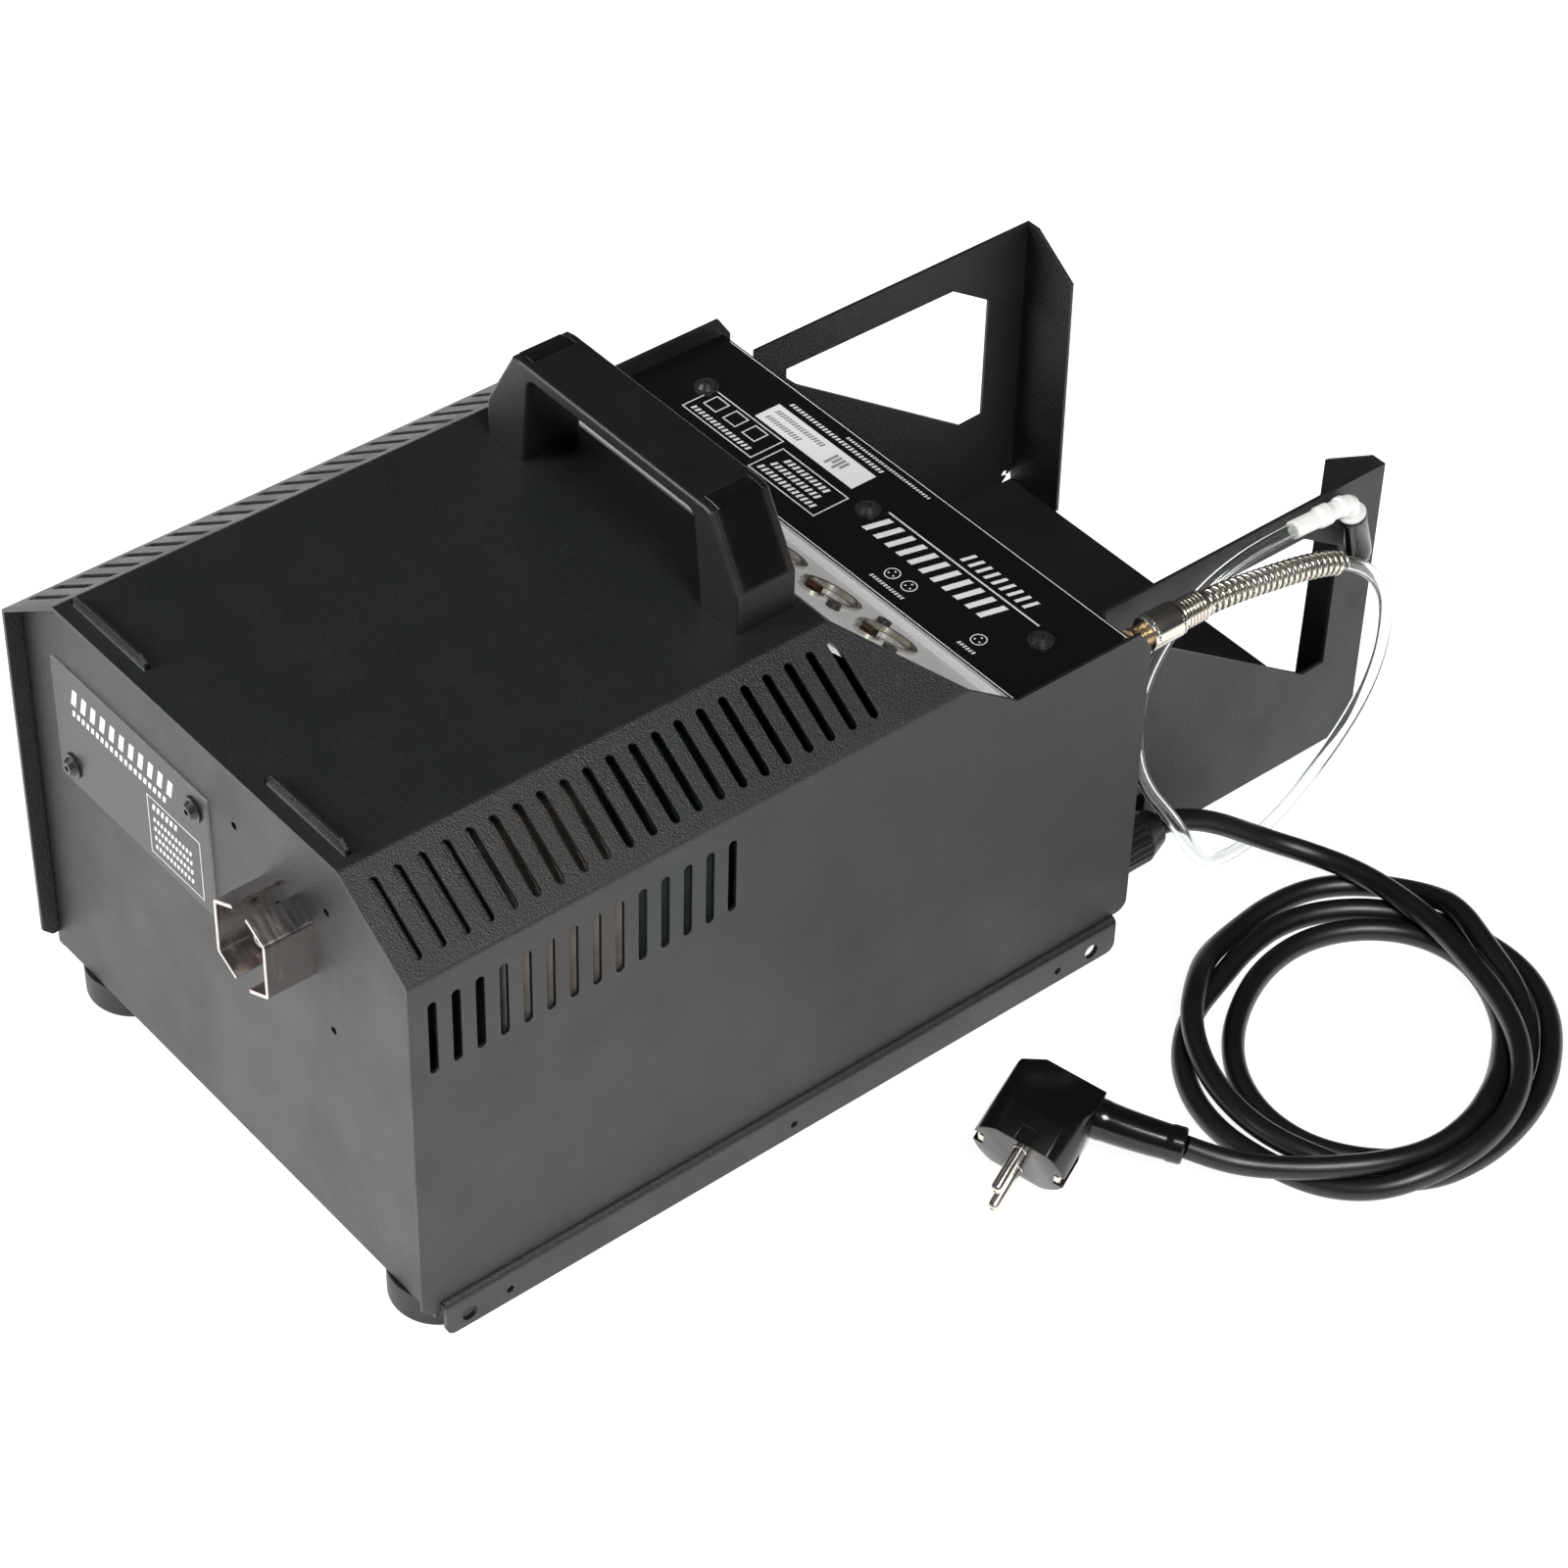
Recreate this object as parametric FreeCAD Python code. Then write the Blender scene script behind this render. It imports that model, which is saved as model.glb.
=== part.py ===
"""Fog machine with a rear canister tray, a carrying handle and a mains lead.

Millimetres. +Z is up, -Y is the nozzle face, +Y is the canister tray.
The origin is the middle of the footprint, at the underside of the feet.
"""
import FreeCAD, Part
import math
import os
from FreeCAD import Vector

os.makedirs("parts", exist_ok=True)

# ---------------------------------------------------------------- driving dimensions
WIDTH = 250.0
HALF_W = WIDTH / 2
BODY_DEPTH = 338.0
FRONT = -234.0                       # front edge of the cover
REAR = FRONT + BODY_DEPTH            # rear edge of the cover's sides
TRAY_REAR = 247.0                    # outer face of the tray's rear flanges
COVER_T = 1.5
BASE_T = 2.0
SHEET_T = 1.5
RECESS = 7.0                         # panels sit this far inside the cover's edges

FOOT_H = 23.5
BASE_TOP = FOOT_H + BASE_T
FLANGE_BOTTOM = 9.0
FLANGE_X = HALF_W + 2.5
SHOULDER_Z = 185.5                   # where the side meets the slanted shoulder
TOP_Z = 211.0
SHOULDER_X = 87.0                    # where the shoulder meets the top
REAR_TOP_Z = 167.5                   # top edge of the side beside the control plate
SLOPE_TOP_Y = FRONT + 211.0
SLOPE_LOW_Y = FRONT + 271.0
SHELF_Z = 158.5                      # top of the shelf under the control plate
REAR_PANEL_Y = FRONT + 332.0         # outer face of the rear panel
FRONT_PANEL_Y = FRONT + RECESS       # outer face of the front panel

VENT_PITCH = 9.9
VENT_W = 3.7
SHOULDER_VENTS = 21
SHOULDER_VENT_LEN = 32.0
SIDE_VENTS = 14
SIDE_VENT_Z0 = 140.5
SIDE_VENT_Z1 = 173.7
VENT_FIRST_Y = FRONT + 9.7

NOZZLE_X = 43.5
NOZZLE_Z = 150.0
GUARD_REACH = 20.0

TRAY_X = 104.0                       # outer faces of the tray's side frames
TRAY_T = 1.5
TRAY_FLOOR_Z = 30.0
TRAY_TOP_Z = 163.5
TRAY_FRONT = REAR_PANEL_Y

COUPLING_X = 117.5
COUPLING_Z = 157.5
GLAND_X = 111.5
GLAND_Z = 44.0
CORD_D = 9.0
HOSE_D = 6.0

HANDLE_X0 = -73.5
HANDLE_X1 = 74.0
HANDLE_Y0 = -53.0
HANDLE_Y1 = -26.5
HANDLE_TOP = 256.5

X_AXIS = Vector(1, 0, 0)
Y_AXIS = Vector(0, 1, 0)
Z_AXIS = Vector(0, 0, 1)


# ---------------------------------------------------------------- helpers
def box(x0, x1, y0, y1, z0, z1):
    return Part.makeBox(x1 - x0, y1 - y0, z1 - z0, Vector(x0, y0, z0))


def rod(start, axis, radius, length):
    return Part.makeCylinder(radius, length, Vector(*start), Vector(*axis))


def tube(start, axis, outer, inner, length):
    return rod(start, axis, outer, length).cut(rod(start, axis, inner, length))


def cone(start, axis, r0, r1, length):
    return Part.makeCone(r0, r1, length, Vector(*start), Vector(*axis))


def face_of(points):
    return Part.Face(Part.makePolygon([*points, points[0]]))


def prism_xz(outline, y0, y1):
    return face_of([Vector(x, y0, z) for x, z in outline]).extrude(Vector(0, y1 - y0, 0))


def prism_yz(outline, x0, x1):
    return face_of([Vector(x0, y, z) for y, z in outline]).extrude(Vector(x1 - x0, 0, 0))


def prism_xy(outline, z0, z1):
    return face_of([Vector(x, y, z0) for x, y in outline]).extrude(Vector(0, 0, z1 - z0))


def offset_line(points, distance):
    """The open 2-D line moved sideways by distance, to its left, with mitred corners."""
    moved = []
    for i, (x, y) in enumerate(points):
        normals = []
        for a, b in ((i - 1, i), (i, i + 1)):
            if a >= 0 and b < len(points):
                dx = points[b][0] - points[a][0]
                dy = points[b][1] - points[a][1]
                size = math.hypot(dx, dy)
                normals.append((-dy / size, dx / size))
        nx = sum(n[0] for n in normals) / len(normals)
        ny = sum(n[1] for n in normals) / len(normals)
        square = nx * nx + ny * ny
        moved.append((x + distance * nx / square, y + distance * ny / square))
    return moved


def sheet_outline(points, thickness):
    """Closed outline of a folded sheet: the line and its copy one thickness to the left."""
    return points + offset_line(points, thickness)[::-1]


def round_edges(shape, radius, wanted):
    edges = [e for e in shape.Edges if wanted(e)]
    return shape.makeFillet(radius, edges) if edges else shape


def along(edge, axis):
    """True for a straight edge that runs along the given axis."""
    if len(edge.Vertexes) != 2 or not isinstance(edge.Curve, (Part.Line, Part.LineSegment)):
        return False
    step = edge.Vertexes[1].Point - edge.Vertexes[0].Point
    return step.Length > 1e-6 and abs(step.normalize().dot(axis)) > 0.9999


def slot(centre, long_axis, through_axis, length, width, depth):
    """A round-ended cutter centred on a point."""
    long_v = Vector(*long_axis).normalize()
    deep_v = Vector(*through_axis).normalize()
    c = Vector(*centre)
    r = width / 2
    half = long_v * (length / 2 - r)
    start = c - deep_v * (depth / 2)
    side = deep_v.cross(long_v) * r
    corners = [start - half - side, start + half - side, start + half + side, start - half + side]
    body = face_of(corners).extrude(deep_v * depth)
    for end in (start - half, start + half):
        body = body.fuse(Part.makeCylinder(r, depth, end, deep_v))
    return body.removeSplitter()


def fuse_all(shapes):
    first = shapes[0]
    return first.multiFuse(shapes[1:]).removeSplitter() if len(shapes) > 1 else first


def cut_all(shape, cutters):
    return shape.cut(cutters[0].multiFuse(cutters[1:]) if len(cutters) > 1 else cutters[0])


def mirrored_x(shape):
    return shape.mirror(Vector(0, 0, 0), X_AXIS)


def frame_placement(origin, u, w):
    """Placement whose x axis is u and whose z axis is w."""
    return FreeCAD.Placement(Vector(*origin), FreeCAD.Rotation(Vector(*u), Vector(), Vector(*w), "ZXY"))


def placed(shape, placement):
    copy = shape.copy()
    copy.Placement = placement.multiply(copy.Placement)
    return copy


def group(shapes):
    return Part.makeCompound(shapes)


def export(name, shape):
    shape.exportStep("parts/" + name + ".step")


def cord_tube(points, diameter, label):
    """A tube along straight runs joined by tangent arcs; prints its arc radii and a volume check."""
    pts = [Vector(*p) for p in points]
    edges = []
    radii = []
    last = pts[0]
    for i in range(1, len(pts) - 1):
        back = pts[i - 1] - pts[i]
        ahead = pts[i + 1] - pts[i]
        shorter = min(back.Length, ahead.Length)
        turn = math.pi - back.getAngle(ahead)
        radius = 0.45 * shorter / math.tan(turn / 2)
        radii.append(radius)
        reach = 0.45 * shorter
        a = pts[i] + back.normalize() * reach
        b = pts[i] + ahead.normalize() * reach
        middle = (a + b) * 0.5
        inward = (middle - pts[i]).normalize()
        centre = pts[i] + inward * math.hypot(radius, reach)
        edges.append(Part.LineSegment(last, a).toShape())
        edges.append(Part.Arc(a, centre - inward * radius, b).toShape())
        last = b
    edges.append(Part.LineSegment(last, pts[-1]).toShape())
    path = Part.Wire(edges)
    profile = Part.Wire(Part.Circle(pts[0], pts[1] - pts[0], diameter / 2).toShape())
    solid = path.makePipeShell([profile], True, False)
    expected = math.pi * diameter ** 2 / 4 * path.Length
    print(label, "length", round(path.Length, 1), "radii", [round(r) for r in radii],
          "volume ratio", round(solid.Volume / expected, 4))
    return solid


# ---------------------------------------------------------------- base plate
def make_base_plate():
    front_y = FRONT_PANEL_Y + SHEET_T
    rear_y = FRONT + 331.0
    line = [(FLANGE_X, FLANGE_BOTTOM), (FLANGE_X, BASE_TOP), (-FLANGE_X, BASE_TOP), (-FLANGE_X, FLANGE_BOTTOM)]
    plate = prism_xz(sheet_outline(line, BASE_T), front_y, rear_y)
    plate = round_edges(plate, 3.0, lambda e: along(e, Y_AXIS) and e.Vertexes[0].Z > BASE_TOP - 0.1)
    plate = round_edges(plate, 4.0, lambda e: along(e, X_AXIS) and e.Length < BASE_T + 0.1
                        and e.Vertexes[0].Z < FLANGE_BOTTOM + 0.1)
    cutters = []
    for sign in (-1, 1):
        for y, r in FLANGE_HOLES:
            start = (sign * (FLANGE_X - 2 * BASE_T), y, FLANGE_HOLE_Z)
            cutters.append(rod(start, (sign, 0, 0), r, 4 * BASE_T))
    for x, y in FOOT_CENTRES:
        cutters.append(rod((x, y, FOOT_H - 1), (0, 0, 1), 2.7, 6))
    for x in (-60, -20, 20, 60):
        for k in range(5):
            centre = (x, FRONT + 90 + 40 * k, FOOT_H + 1)
            cutters.append(slot(centre, (1, 0, 0), (0, 0, 1), 26, 4, 8))
    return cut_all(plate, cutters)


FLANGE_HOLE_Z = 15.0
MOUNT_HOLE_R = 3.3
SMALL_HOLE_R = 1.6
FLANGE_HOLES = [(FRONT + 18.5, MOUNT_HOLE_R), (FRONT + 36.5, SMALL_HOLE_R), (FRONT + 168.5, SMALL_HOLE_R),
                (FRONT + 301.0, SMALL_HOLE_R), (FRONT + 318.5, MOUNT_HOLE_R)]
FRONT_PANEL_BOTTOM = 15.5
FOOT_X = 100.0
FOOT_CENTRES = [(sx * FOOT_X, y) for sx in (-1, 1) for y in (FRONT + 25.0, FRONT + 309.0)]
FOOT_STEP_Z = 14.6


def make_rubber_feet():
    feet = []
    for x, y in FOOT_CENTRES:
        foot = rod((x, y, 0), (0, 0, 1), 19.4, FOOT_STEP_Z)
        foot = foot.makeFillet(2.0, [e for e in foot.Edges if e.BoundBox.ZMax < 0.1 and len(e.Vertexes) == 1])
        foot = foot.fuse(rod((x, y, FOOT_STEP_Z - 1), (0, 0, 1), 16.0, FOOT_H - FOOT_STEP_Z + 1))
        foot = foot.cut(rod((x, y, 0), (0, 0, 1), 7.0, 8.0)).cut(rod((x, y, 0), (0, 0, 1), 2.7, FOOT_H))
        feet.append(foot)
    return group(feet)


def pan_screw(start, axis, shank_r, shank_len, head_r, head_h):
    """Pan-head screw whose head sits on start, its shank along axis."""
    head_start = Vector(*start) - Vector(*axis).normalize() * head_h
    head = Part.makeCylinder(head_r, head_h, head_start, Vector(*axis))
    return head.fuse(rod(start, axis, shank_r, shank_len)).removeSplitter()


def make_chassis_screws():
    screws = [pan_screw((x, y, 8.0), (0, 0, 1), 2.5, FOOT_H + BASE_T - 6.0, 5.0, 3.0) for x, y in FOOT_CENTRES]
    for x in (-80.0, 80.0):
        screws.append(pan_screw((x, TRAY_FRONT + TRAY_T, TRAY_FLOOR_Z + 12.0), (0, -1, 0), 2.0, 6.0, 3.6, 2.4))
    return group(screws)


# ---------------------------------------------------------------- outer cover
def cover_line(z_bottom):
    return [(-HALF_W, z_bottom), (-HALF_W, SHOULDER_Z), (-SHOULDER_X, TOP_Z),
            (SHOULDER_X, TOP_Z), (HALF_W, SHOULDER_Z), (HALF_W, z_bottom)]


LIP_W = 8.0
TAB_CENTRES = (-61.5, 59.0)
TAB_LEN = 46.0
TAB_RISE = 4.5


def make_top_cover():
    cover = prism_xz(sheet_outline(cover_line(21.5), -COVER_T), FRONT, REAR)
    cover = round_edges(cover, 3.0, lambda e: along(e, Y_AXIS) and on_cover_outside(e))
    cover = round_edges(cover, 1.5, lambda e: along(e, Y_AXIS) and on_cover_inside(e))
    above_slope = [(SLOPE_TOP_Y, TOP_Z + 5), (SLOPE_TOP_Y, TOP_Z), (SLOPE_LOW_Y, REAR_TOP_Z),
                   (REAR - 6, REAR_TOP_Z), (REAR, REAR_TOP_Z - 9), (REAR + 5, REAR_TOP_Z - 9), (REAR + 5, TOP_Z + 5)]
    low_corner = [(FRONT - 1, 15), (FRONT - 1, BASE_TOP), (FRONT, BASE_TOP), (FRONT + 4, 21.5), (FRONT + 4, 15)]
    under_side = [(FRONT_PANEL_Y + 1.0, 15), (FRONT_PANEL_Y + 1.0, BASE_TOP), (REAR + 5, BASE_TOP), (REAR + 5, 15)]
    cutters = [prism_yz(o, -200, 200) for o in (above_slope, low_corner, under_side)]
    cutters += cover_slots()
    cover = cut_all(cover, cutters)
    lips = []
    for sign in (-1, 1):
        xs = sorted((sign * (HALF_W - COVER_T - LIP_W), sign * (HALF_W - 0.4)))
        lips.append(box(*xs, FRONT_PANEL_Y + 12, REAR - 14, BASE_TOP, BASE_TOP + COVER_T))
    cover = fuse_all([cover] + lips)
    cover = round_edges(cover, 5.0, lambda e: along(e, X_AXIS) and abs(e.Vertexes[0].Y - REAR) < 0.01
                        and abs(e.Vertexes[0].Z - BASE_TOP) < 0.01)
    return cover


def on_cover_outside(edge):
    p = edge.Vertexes[0].Point
    corners = [(HALF_W, SHOULDER_Z), (SHOULDER_X, TOP_Z)]
    return any(math.hypot(abs(p.x) - x, p.z - z) < 0.05 for x, z in corners)


def on_cover_inside(edge):
    p = edge.Vertexes[0].Point
    inner = offset_line(cover_line(0), -COVER_T)
    return any(math.hypot(p.x - x, p.z - z) < 0.05 for x, z in inner[1:5])


def cover_slots():
    run = HALF_W - SHOULDER_X
    rise = TOP_Z - SHOULDER_Z
    cutters = []
    for sign in (-1, 1):
        middle_x = sign * (HALF_W + SHOULDER_X) / 2
        middle_z = (SHOULDER_Z + TOP_Z) / 2
        for k in range(SHOULDER_VENTS):
            centre = (middle_x, VENT_FIRST_Y + VENT_PITCH * k, middle_z)
            cutters.append(slot(centre, (-sign * run, 0, rise), (sign * rise, 0, run),
                                SHOULDER_VENT_LEN, VENT_W, 10))
        for k in range(SIDE_VENTS):
            centre = (sign * HALF_W, VENT_FIRST_Y + VENT_PITCH * k, (SIDE_VENT_Z0 + SIDE_VENT_Z1) / 2)
            cutters.append(slot(centre, (0, 0, 1), (1, 0, 0), SIDE_VENT_Z1 - SIDE_VENT_Z0, VENT_W, 10))
    for x in TAB_CENTRES:
        cutters.append(box(x - TAB_LEN / 2 - 1, x + TAB_LEN / 2 + 1, FRONT_PANEL_Y - 0.8,
                           FRONT_PANEL_Y + SHEET_T + 0.8, TOP_Z - 5, TOP_Z + 1))
    for x in HANDLE_SCREW_X:
        cutters.append(rod((x, HANDLE_MID_Y, TOP_Z - 6), (0, 0, 1), 3.3, 10))
    return cutters


# ---------------------------------------------------------------- front and rear panels
def panel_outline(gap, z_bottom):
    inner = offset_line(cover_line(z_bottom), -(COVER_T + gap))
    return [(inner[0][0], z_bottom)] + inner[1:5] + [(inner[5][0], z_bottom)]


def make_front_panel():
    outline = panel_outline(0.8, FRONT_PANEL_BOTTOM)
    panel = prism_xz(outline, FRONT_PANEL_Y, FRONT_PANEL_Y + SHEET_T)
    panel = panel.cut(box(-130, -119, FRONT, FRONT + 20, 0, 12)).cut(box(119, 130, FRONT, FRONT + 20, 0, 12))
    pieces = [panel]
    for x in TAB_CENTRES:
        h = TAB_LEN / 2
        top = TOP_Z + TAB_RISE
        tab = [(x - h, TOP_Z - 4), (x - h, top - 2.5), (x - h + 2.5, top), (x + h - 3.5, top),
               (x + h, top - 2.5), (x + h, TOP_Z - 4)]
        pieces.append(prism_xz(tab, FRONT_PANEL_Y, FRONT_PANEL_Y + SHEET_T))
    run = HALF_W - SHOULDER_X
    rise = TOP_Z - SHOULDER_Z
    for sign in (-1, 1):
        upper = (sign * SHOULDER_X, TOP_Z)
        lower = (sign * HALF_W, SHOULDER_Z)
        line = offset_line([lower, upper], sign * 5.0)
        thick = offset_line([lower, upper], sign * 6.5)
        flange = prism_xz([line[0], line[1], thick[1], thick[0]], FRONT_PANEL_Y, FRONT_PANEL_Y + 44)
        holes = []
        for y, f in ((FRONT + 25.0, 0.35), (FRONT + 35.0, 0.62)):
            p = (lower[0] - sign * run * f, y, lower[1] + rise * f)
            holes.append(slot(p, (0, 1, 0), (sign * rise, 0, run), 4.2, 4.0, 30))
        pieces.append(cut_all(flange, holes))
    panel = fuse_all(pieces)
    cutters = [rod((NOZZLE_X, FRONT, NOZZLE_Z), (0, 1, 0), 9.0, 20)]
    for x, z in ((12.5, 174), (68, 174), (68, 117.5)):
        cutters.append(rod((x, FRONT, z), (0, 1, 0), 1.6, 20))
    for x, z in NAME_PLATE_SCREWS:
        cutters.append(rod((x, FRONT, z), (0, 1, 0), 2.1, 20))
    return cut_all(panel, cutters)


NAME_PLATE = (-104.0, -3.5, 118.5, 174.0)
NAME_PLATE_T = 1.0
NAME_PLATE_SCREWS = [(-95.5, 127.0), (-12.5, 164.5)]


def make_name_plate():
    x0, x1, z0, z1 = NAME_PLATE
    plate = box(x0, x1, FRONT_PANEL_Y - NAME_PLATE_T, FRONT_PANEL_Y, z0, z1)
    return cut_all(plate, [rod((x, FRONT, z), (0, 1, 0), 2.1, 20) for x, z in NAME_PLATE_SCREWS])


def make_rear_panel():
    inner_y = REAR_PANEL_Y - SHEET_T
    edge = HALF_W - COVER_T - 0.8
    panel = box(-edge, edge, inner_y, REAR_PANEL_Y, BASE_TOP, SHELF_Z - SHEET_T)
    cutters = [rod((GLAND_X, inner_y - 1, GLAND_Z), (0, 1, 0), GLAND_THREAD_R, 5),
               rod((COUPLING_X, inner_y - 1, STUD_Z), (0, 1, 0), STUD_R + 0.05, 5)]
    for x in TRAY_SCREW_X:
        cutters.append(rod((x, inner_y - 1, TRAY_SCREW_Z), (0, 1, 0), 2.0, 5))
    return cut_all(panel, cutters)


# ---------------------------------------------------------------- slanted connector panel
SLOPE_LEN = math.hypot(SLOPE_LOW_Y - SLOPE_TOP_Y, TOP_Z - REAR_TOP_Z)
DOWN_Y = (SLOPE_LOW_Y - SLOPE_TOP_Y) / SLOPE_LEN
DOWN_Z = (REAR_TOP_Z - TOP_Z) / SLOPE_LEN
SLOPE_DOWN = (0, DOWN_Y, DOWN_Z)
SLOPE_OUT = (0, -DOWN_Z, DOWN_Y)
SOCKET_X = (9.7, 41.2, 72.7)
SOCKET_S = 56.5
SOCKET_R = 12.5
SOCKET_HOLE_R = 11.9
SOCKET_BORE_R = 10.6
SOCKET_INSERT_R = 9.2
SOCKET_DEPTH = 18.0
SOCKET_RING_T = 1.3
SOCKET_SCREWS = [(0, 12.7, -12.8), (0, -12.2, 10.9), (1, 12.9, -12.9), (2, -12.2, 10.9), (2, 12.9, -12.9)]
LATCH_S = -11.8
DISPLAY = (-84.0, -42.0, 46.0, 66.0)
BUTTONS = [(-29.0, 50.0), (-17.0, 50.0), (-29.0, 62.0), (-17.0, 62.0)]
BUTTON_R = 3.0
BUTTON_TRAVEL = 0.8


def on_slope(x, s, out=0.0):
    """Point on the connector panel: s down the slope, out proud of its face."""
    y = SLOPE_TOP_Y - RECESS * SLOPE_OUT[1] + s * DOWN_Y + out * SLOPE_OUT[1]
    z = TOP_Z - RECESS * SLOPE_OUT[2] + s * DOWN_Z + out * SLOPE_OUT[2]
    return (x, y, z)


def slope_placement(x, s, out=0.0):
    """Local x runs across, local y down the slope and local z out of the panel."""
    return frame_placement(on_slope(x, s, out), (1, 0, 0), SLOPE_OUT)


def make_connector_panel():
    edge = HALF_W - COVER_T - 0.8
    top = on_slope(0, -3.0)
    bend_s = (top[2] - SHELF_Z) / -DOWN_Z - 3.0
    bend = on_slope(0, bend_s)
    line = [(top[1], top[2]), (bend[1], SHELF_Z), (REAR_PANEL_Y, SHELF_Z)]
    panel = prism_yz(sheet_outline(line, -SHEET_T), -edge, edge)
    panel = panel.common(prism_xz(panel_outline(0.8, BASE_TOP), FRONT, REAR + 1))
    cutters = [rod(on_slope(x, SOCKET_S, 5), tuple(-c for c in SLOPE_OUT), SOCKET_HOLE_R, 10) for x in SOCKET_X]
    for index, dx, ds in SOCKET_SCREWS:
        start = on_slope(SOCKET_X[index] + dx, SOCKET_S + ds, 5)
        cutters.append(rod(start, tuple(-c for c in SLOPE_OUT), 1.5, 10))
    for x in SOCKET_X:
        cutters.append(placed(box(-2.9, 2.9, -2.6, 2.6, -6, 6), slope_placement(x, SOCKET_S + LATCH_S)))
    for x, s in BUTTONS:
        cutters.append(rod(on_slope(x, s, 5), tuple(-c for c in SLOPE_OUT), BUTTON_R + 0.3, 10))
    x0, x1, s0, s1 = DISPLAY
    half_w, half_h = (x1 - x0) / 2, (s1 - s0) / 2
    window = box(-half_w + 2, half_w - 2, -half_h + 2, half_h - 2, -6, 6)
    cutters.append(placed(window, slope_placement((x0 + x1) / 2, (s0 + s1) / 2)))
    for x, y in CONTROL_PLATE_SCREWS:
        cutters.append(rod((x, y, SHELF_Z - 5), (0, 0, 1), 2.1, 10))
    return cut_all(panel, cutters)


CONTROL_PLATE_T = 1.8
CONTROL_PLATE_Y0 = FRONT + 275.5
CONTROL_PLATE_Y1 = FRONT + 333.5
CONTROL_PLATE_SCREWS = [(x, FRONT + 306.0) for x in (-99.0, 0.0, 99.0)]


def make_control_plate():
    edge = HALF_W - COVER_T - 0.8
    plate = box(-edge, edge, CONTROL_PLATE_Y0, CONTROL_PLATE_Y1, SHELF_Z, SHELF_Z + CONTROL_PLATE_T)
    return cut_all(plate, [rod((x, y, SHELF_Z - 5), (0, 0, 1), 2.1, 10) for x, y in CONTROL_PLATE_SCREWS])


def button_head_screw(start, axis):
    """M4 button-head screw on a washer; start is on the plate's face, axis points into it."""
    inward = Vector(*axis).normalize()
    face = Vector(*start)
    washer = Part.makeCylinder(5.2, 0.9, face - inward * 0.9, inward)
    head = Part.makeCone(2.6, 3.9, 2.1, face - inward * 3.0, inward)
    shank = Part.makeCylinder(2.0, 8.0, face, inward)
    hexagon = Part.makeCylinder(1.2, 1.4, face - inward * 3.0, inward)
    return fuse_all([washer, head, shank]).cut(hexagon)


def make_panel_screws():
    top = SHELF_Z + CONTROL_PLATE_T
    screws = [button_head_screw((x, y, top), (0, 0, -1)) for x, y in CONTROL_PLATE_SCREWS]
    face = FRONT_PANEL_Y - NAME_PLATE_T
    screws += [button_head_screw((x, face, z), (0, 1, 0)) for x, z in NAME_PLATE_SCREWS]
    return group(screws)


# ---------------------------------------------------------------- signal sockets, display and buttons
def make_socket(x):
    """Round signal socket set in the panel from behind, with a keyed insert and contact holes."""
    base = rod((0, 0, -SOCKET_DEPTH), (0, 0, 1), SOCKET_HOLE_R - 0.1, 3.0)
    shell = tube((0, 0, -SOCKET_DEPTH), (0, 0, 1), SOCKET_HOLE_R - 0.1, SOCKET_BORE_R, SOCKET_DEPTH)
    ring = tube((0, 0, 0), (0, 0, 1), SOCKET_R, SOCKET_BORE_R, SOCKET_RING_T)
    lobe = tube((0, LATCH_S, 0), (0, 0, 1), 5.6, 3.0, SOCKET_RING_T)
    lobe = lobe.cut(rod((0, 0, -1), (0, 0, 1), SOCKET_BORE_R, 4))
    insert = rod((0, 0, -SOCKET_DEPTH), (0, 0, 1), SOCKET_INSERT_R, SOCKET_DEPTH - 1.0)
    holes = [rod((3.8 * math.cos(a), 3.8 * math.sin(a), -12.0), (0, 0, 1), 1.35, 20)
             for a in (math.radians(d) for d in (0, 90, 180))]
    holes += [slot((6.6 * math.cos(a), 6.6 * math.sin(a), -1), (-math.sin(a), math.cos(a), 0), (0, 0, 1), 3.4, 0.9, 3)
              for a in (math.radians(d) for d in (35, 145, 215, 325))]
    pocket = box(-3.1, 3.1, LATCH_S - 2.8, LATCH_S + 2.9, -SOCKET_DEPTH - 1, 3)
    key = box(-1.0, 1.0, SOCKET_INSERT_R - 1.2, SOCKET_BORE_R - 0.1, -SOCKET_DEPTH, -1.6)
    body = fuse_all([base, shell, ring, lobe, insert, key])
    return placed(cut_all(body, holes + [pocket]), slope_placement(x, SOCKET_S))


def make_latch(x):
    """Push tab that releases the plug; it presses into the panel."""
    tab = box(-2.6, 2.6, -2.3, 2.3, -5.0, 3.4)
    tab = round_edges(tab, 0.8, lambda e: along(e, X_AXIS) and e.Vertexes[0].Z > 3.3)
    return placed(tab, slope_placement(x, SOCKET_S + LATCH_S))


def make_socket_screws():
    screws = []
    for index, dx, ds in SOCKET_SCREWS:
        place = slope_placement(SOCKET_X[index] + dx, SOCKET_S + ds)
        screw = fuse_all([rod((0, 0, 0), (0, 0, 1), 2.9, 2.2), rod((0, 0, -6), (0, 0, 1), 1.5, 6)])
        cross = fuse_all([box(-1.6, 1.6, -0.35, 0.35, 1.2, 3), box(-0.35, 0.35, -1.6, 1.6, 1.2, 3)])
        screws.append(placed(screw.cut(cross), place))
    return group(screws)


def make_display_window():
    x0, x1, s0, s1 = DISPLAY
    half_w, half_h = (x1 - x0) / 2, (s1 - s0) / 2
    pane = box(-half_w, half_w, -half_h, half_h, 0.0, 1.2)
    pane = round_edges(pane, 2.0, lambda e: along(e, Z_AXIS))
    block = box(-half_w + 2.2, half_w - 2.2, -half_h + 2.2, half_h - 2.2, -7.0, 0.0)
    return placed(fuse_all([pane, block]), slope_placement((x0 + x1) / 2, (s0 + s1) / 2))


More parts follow.
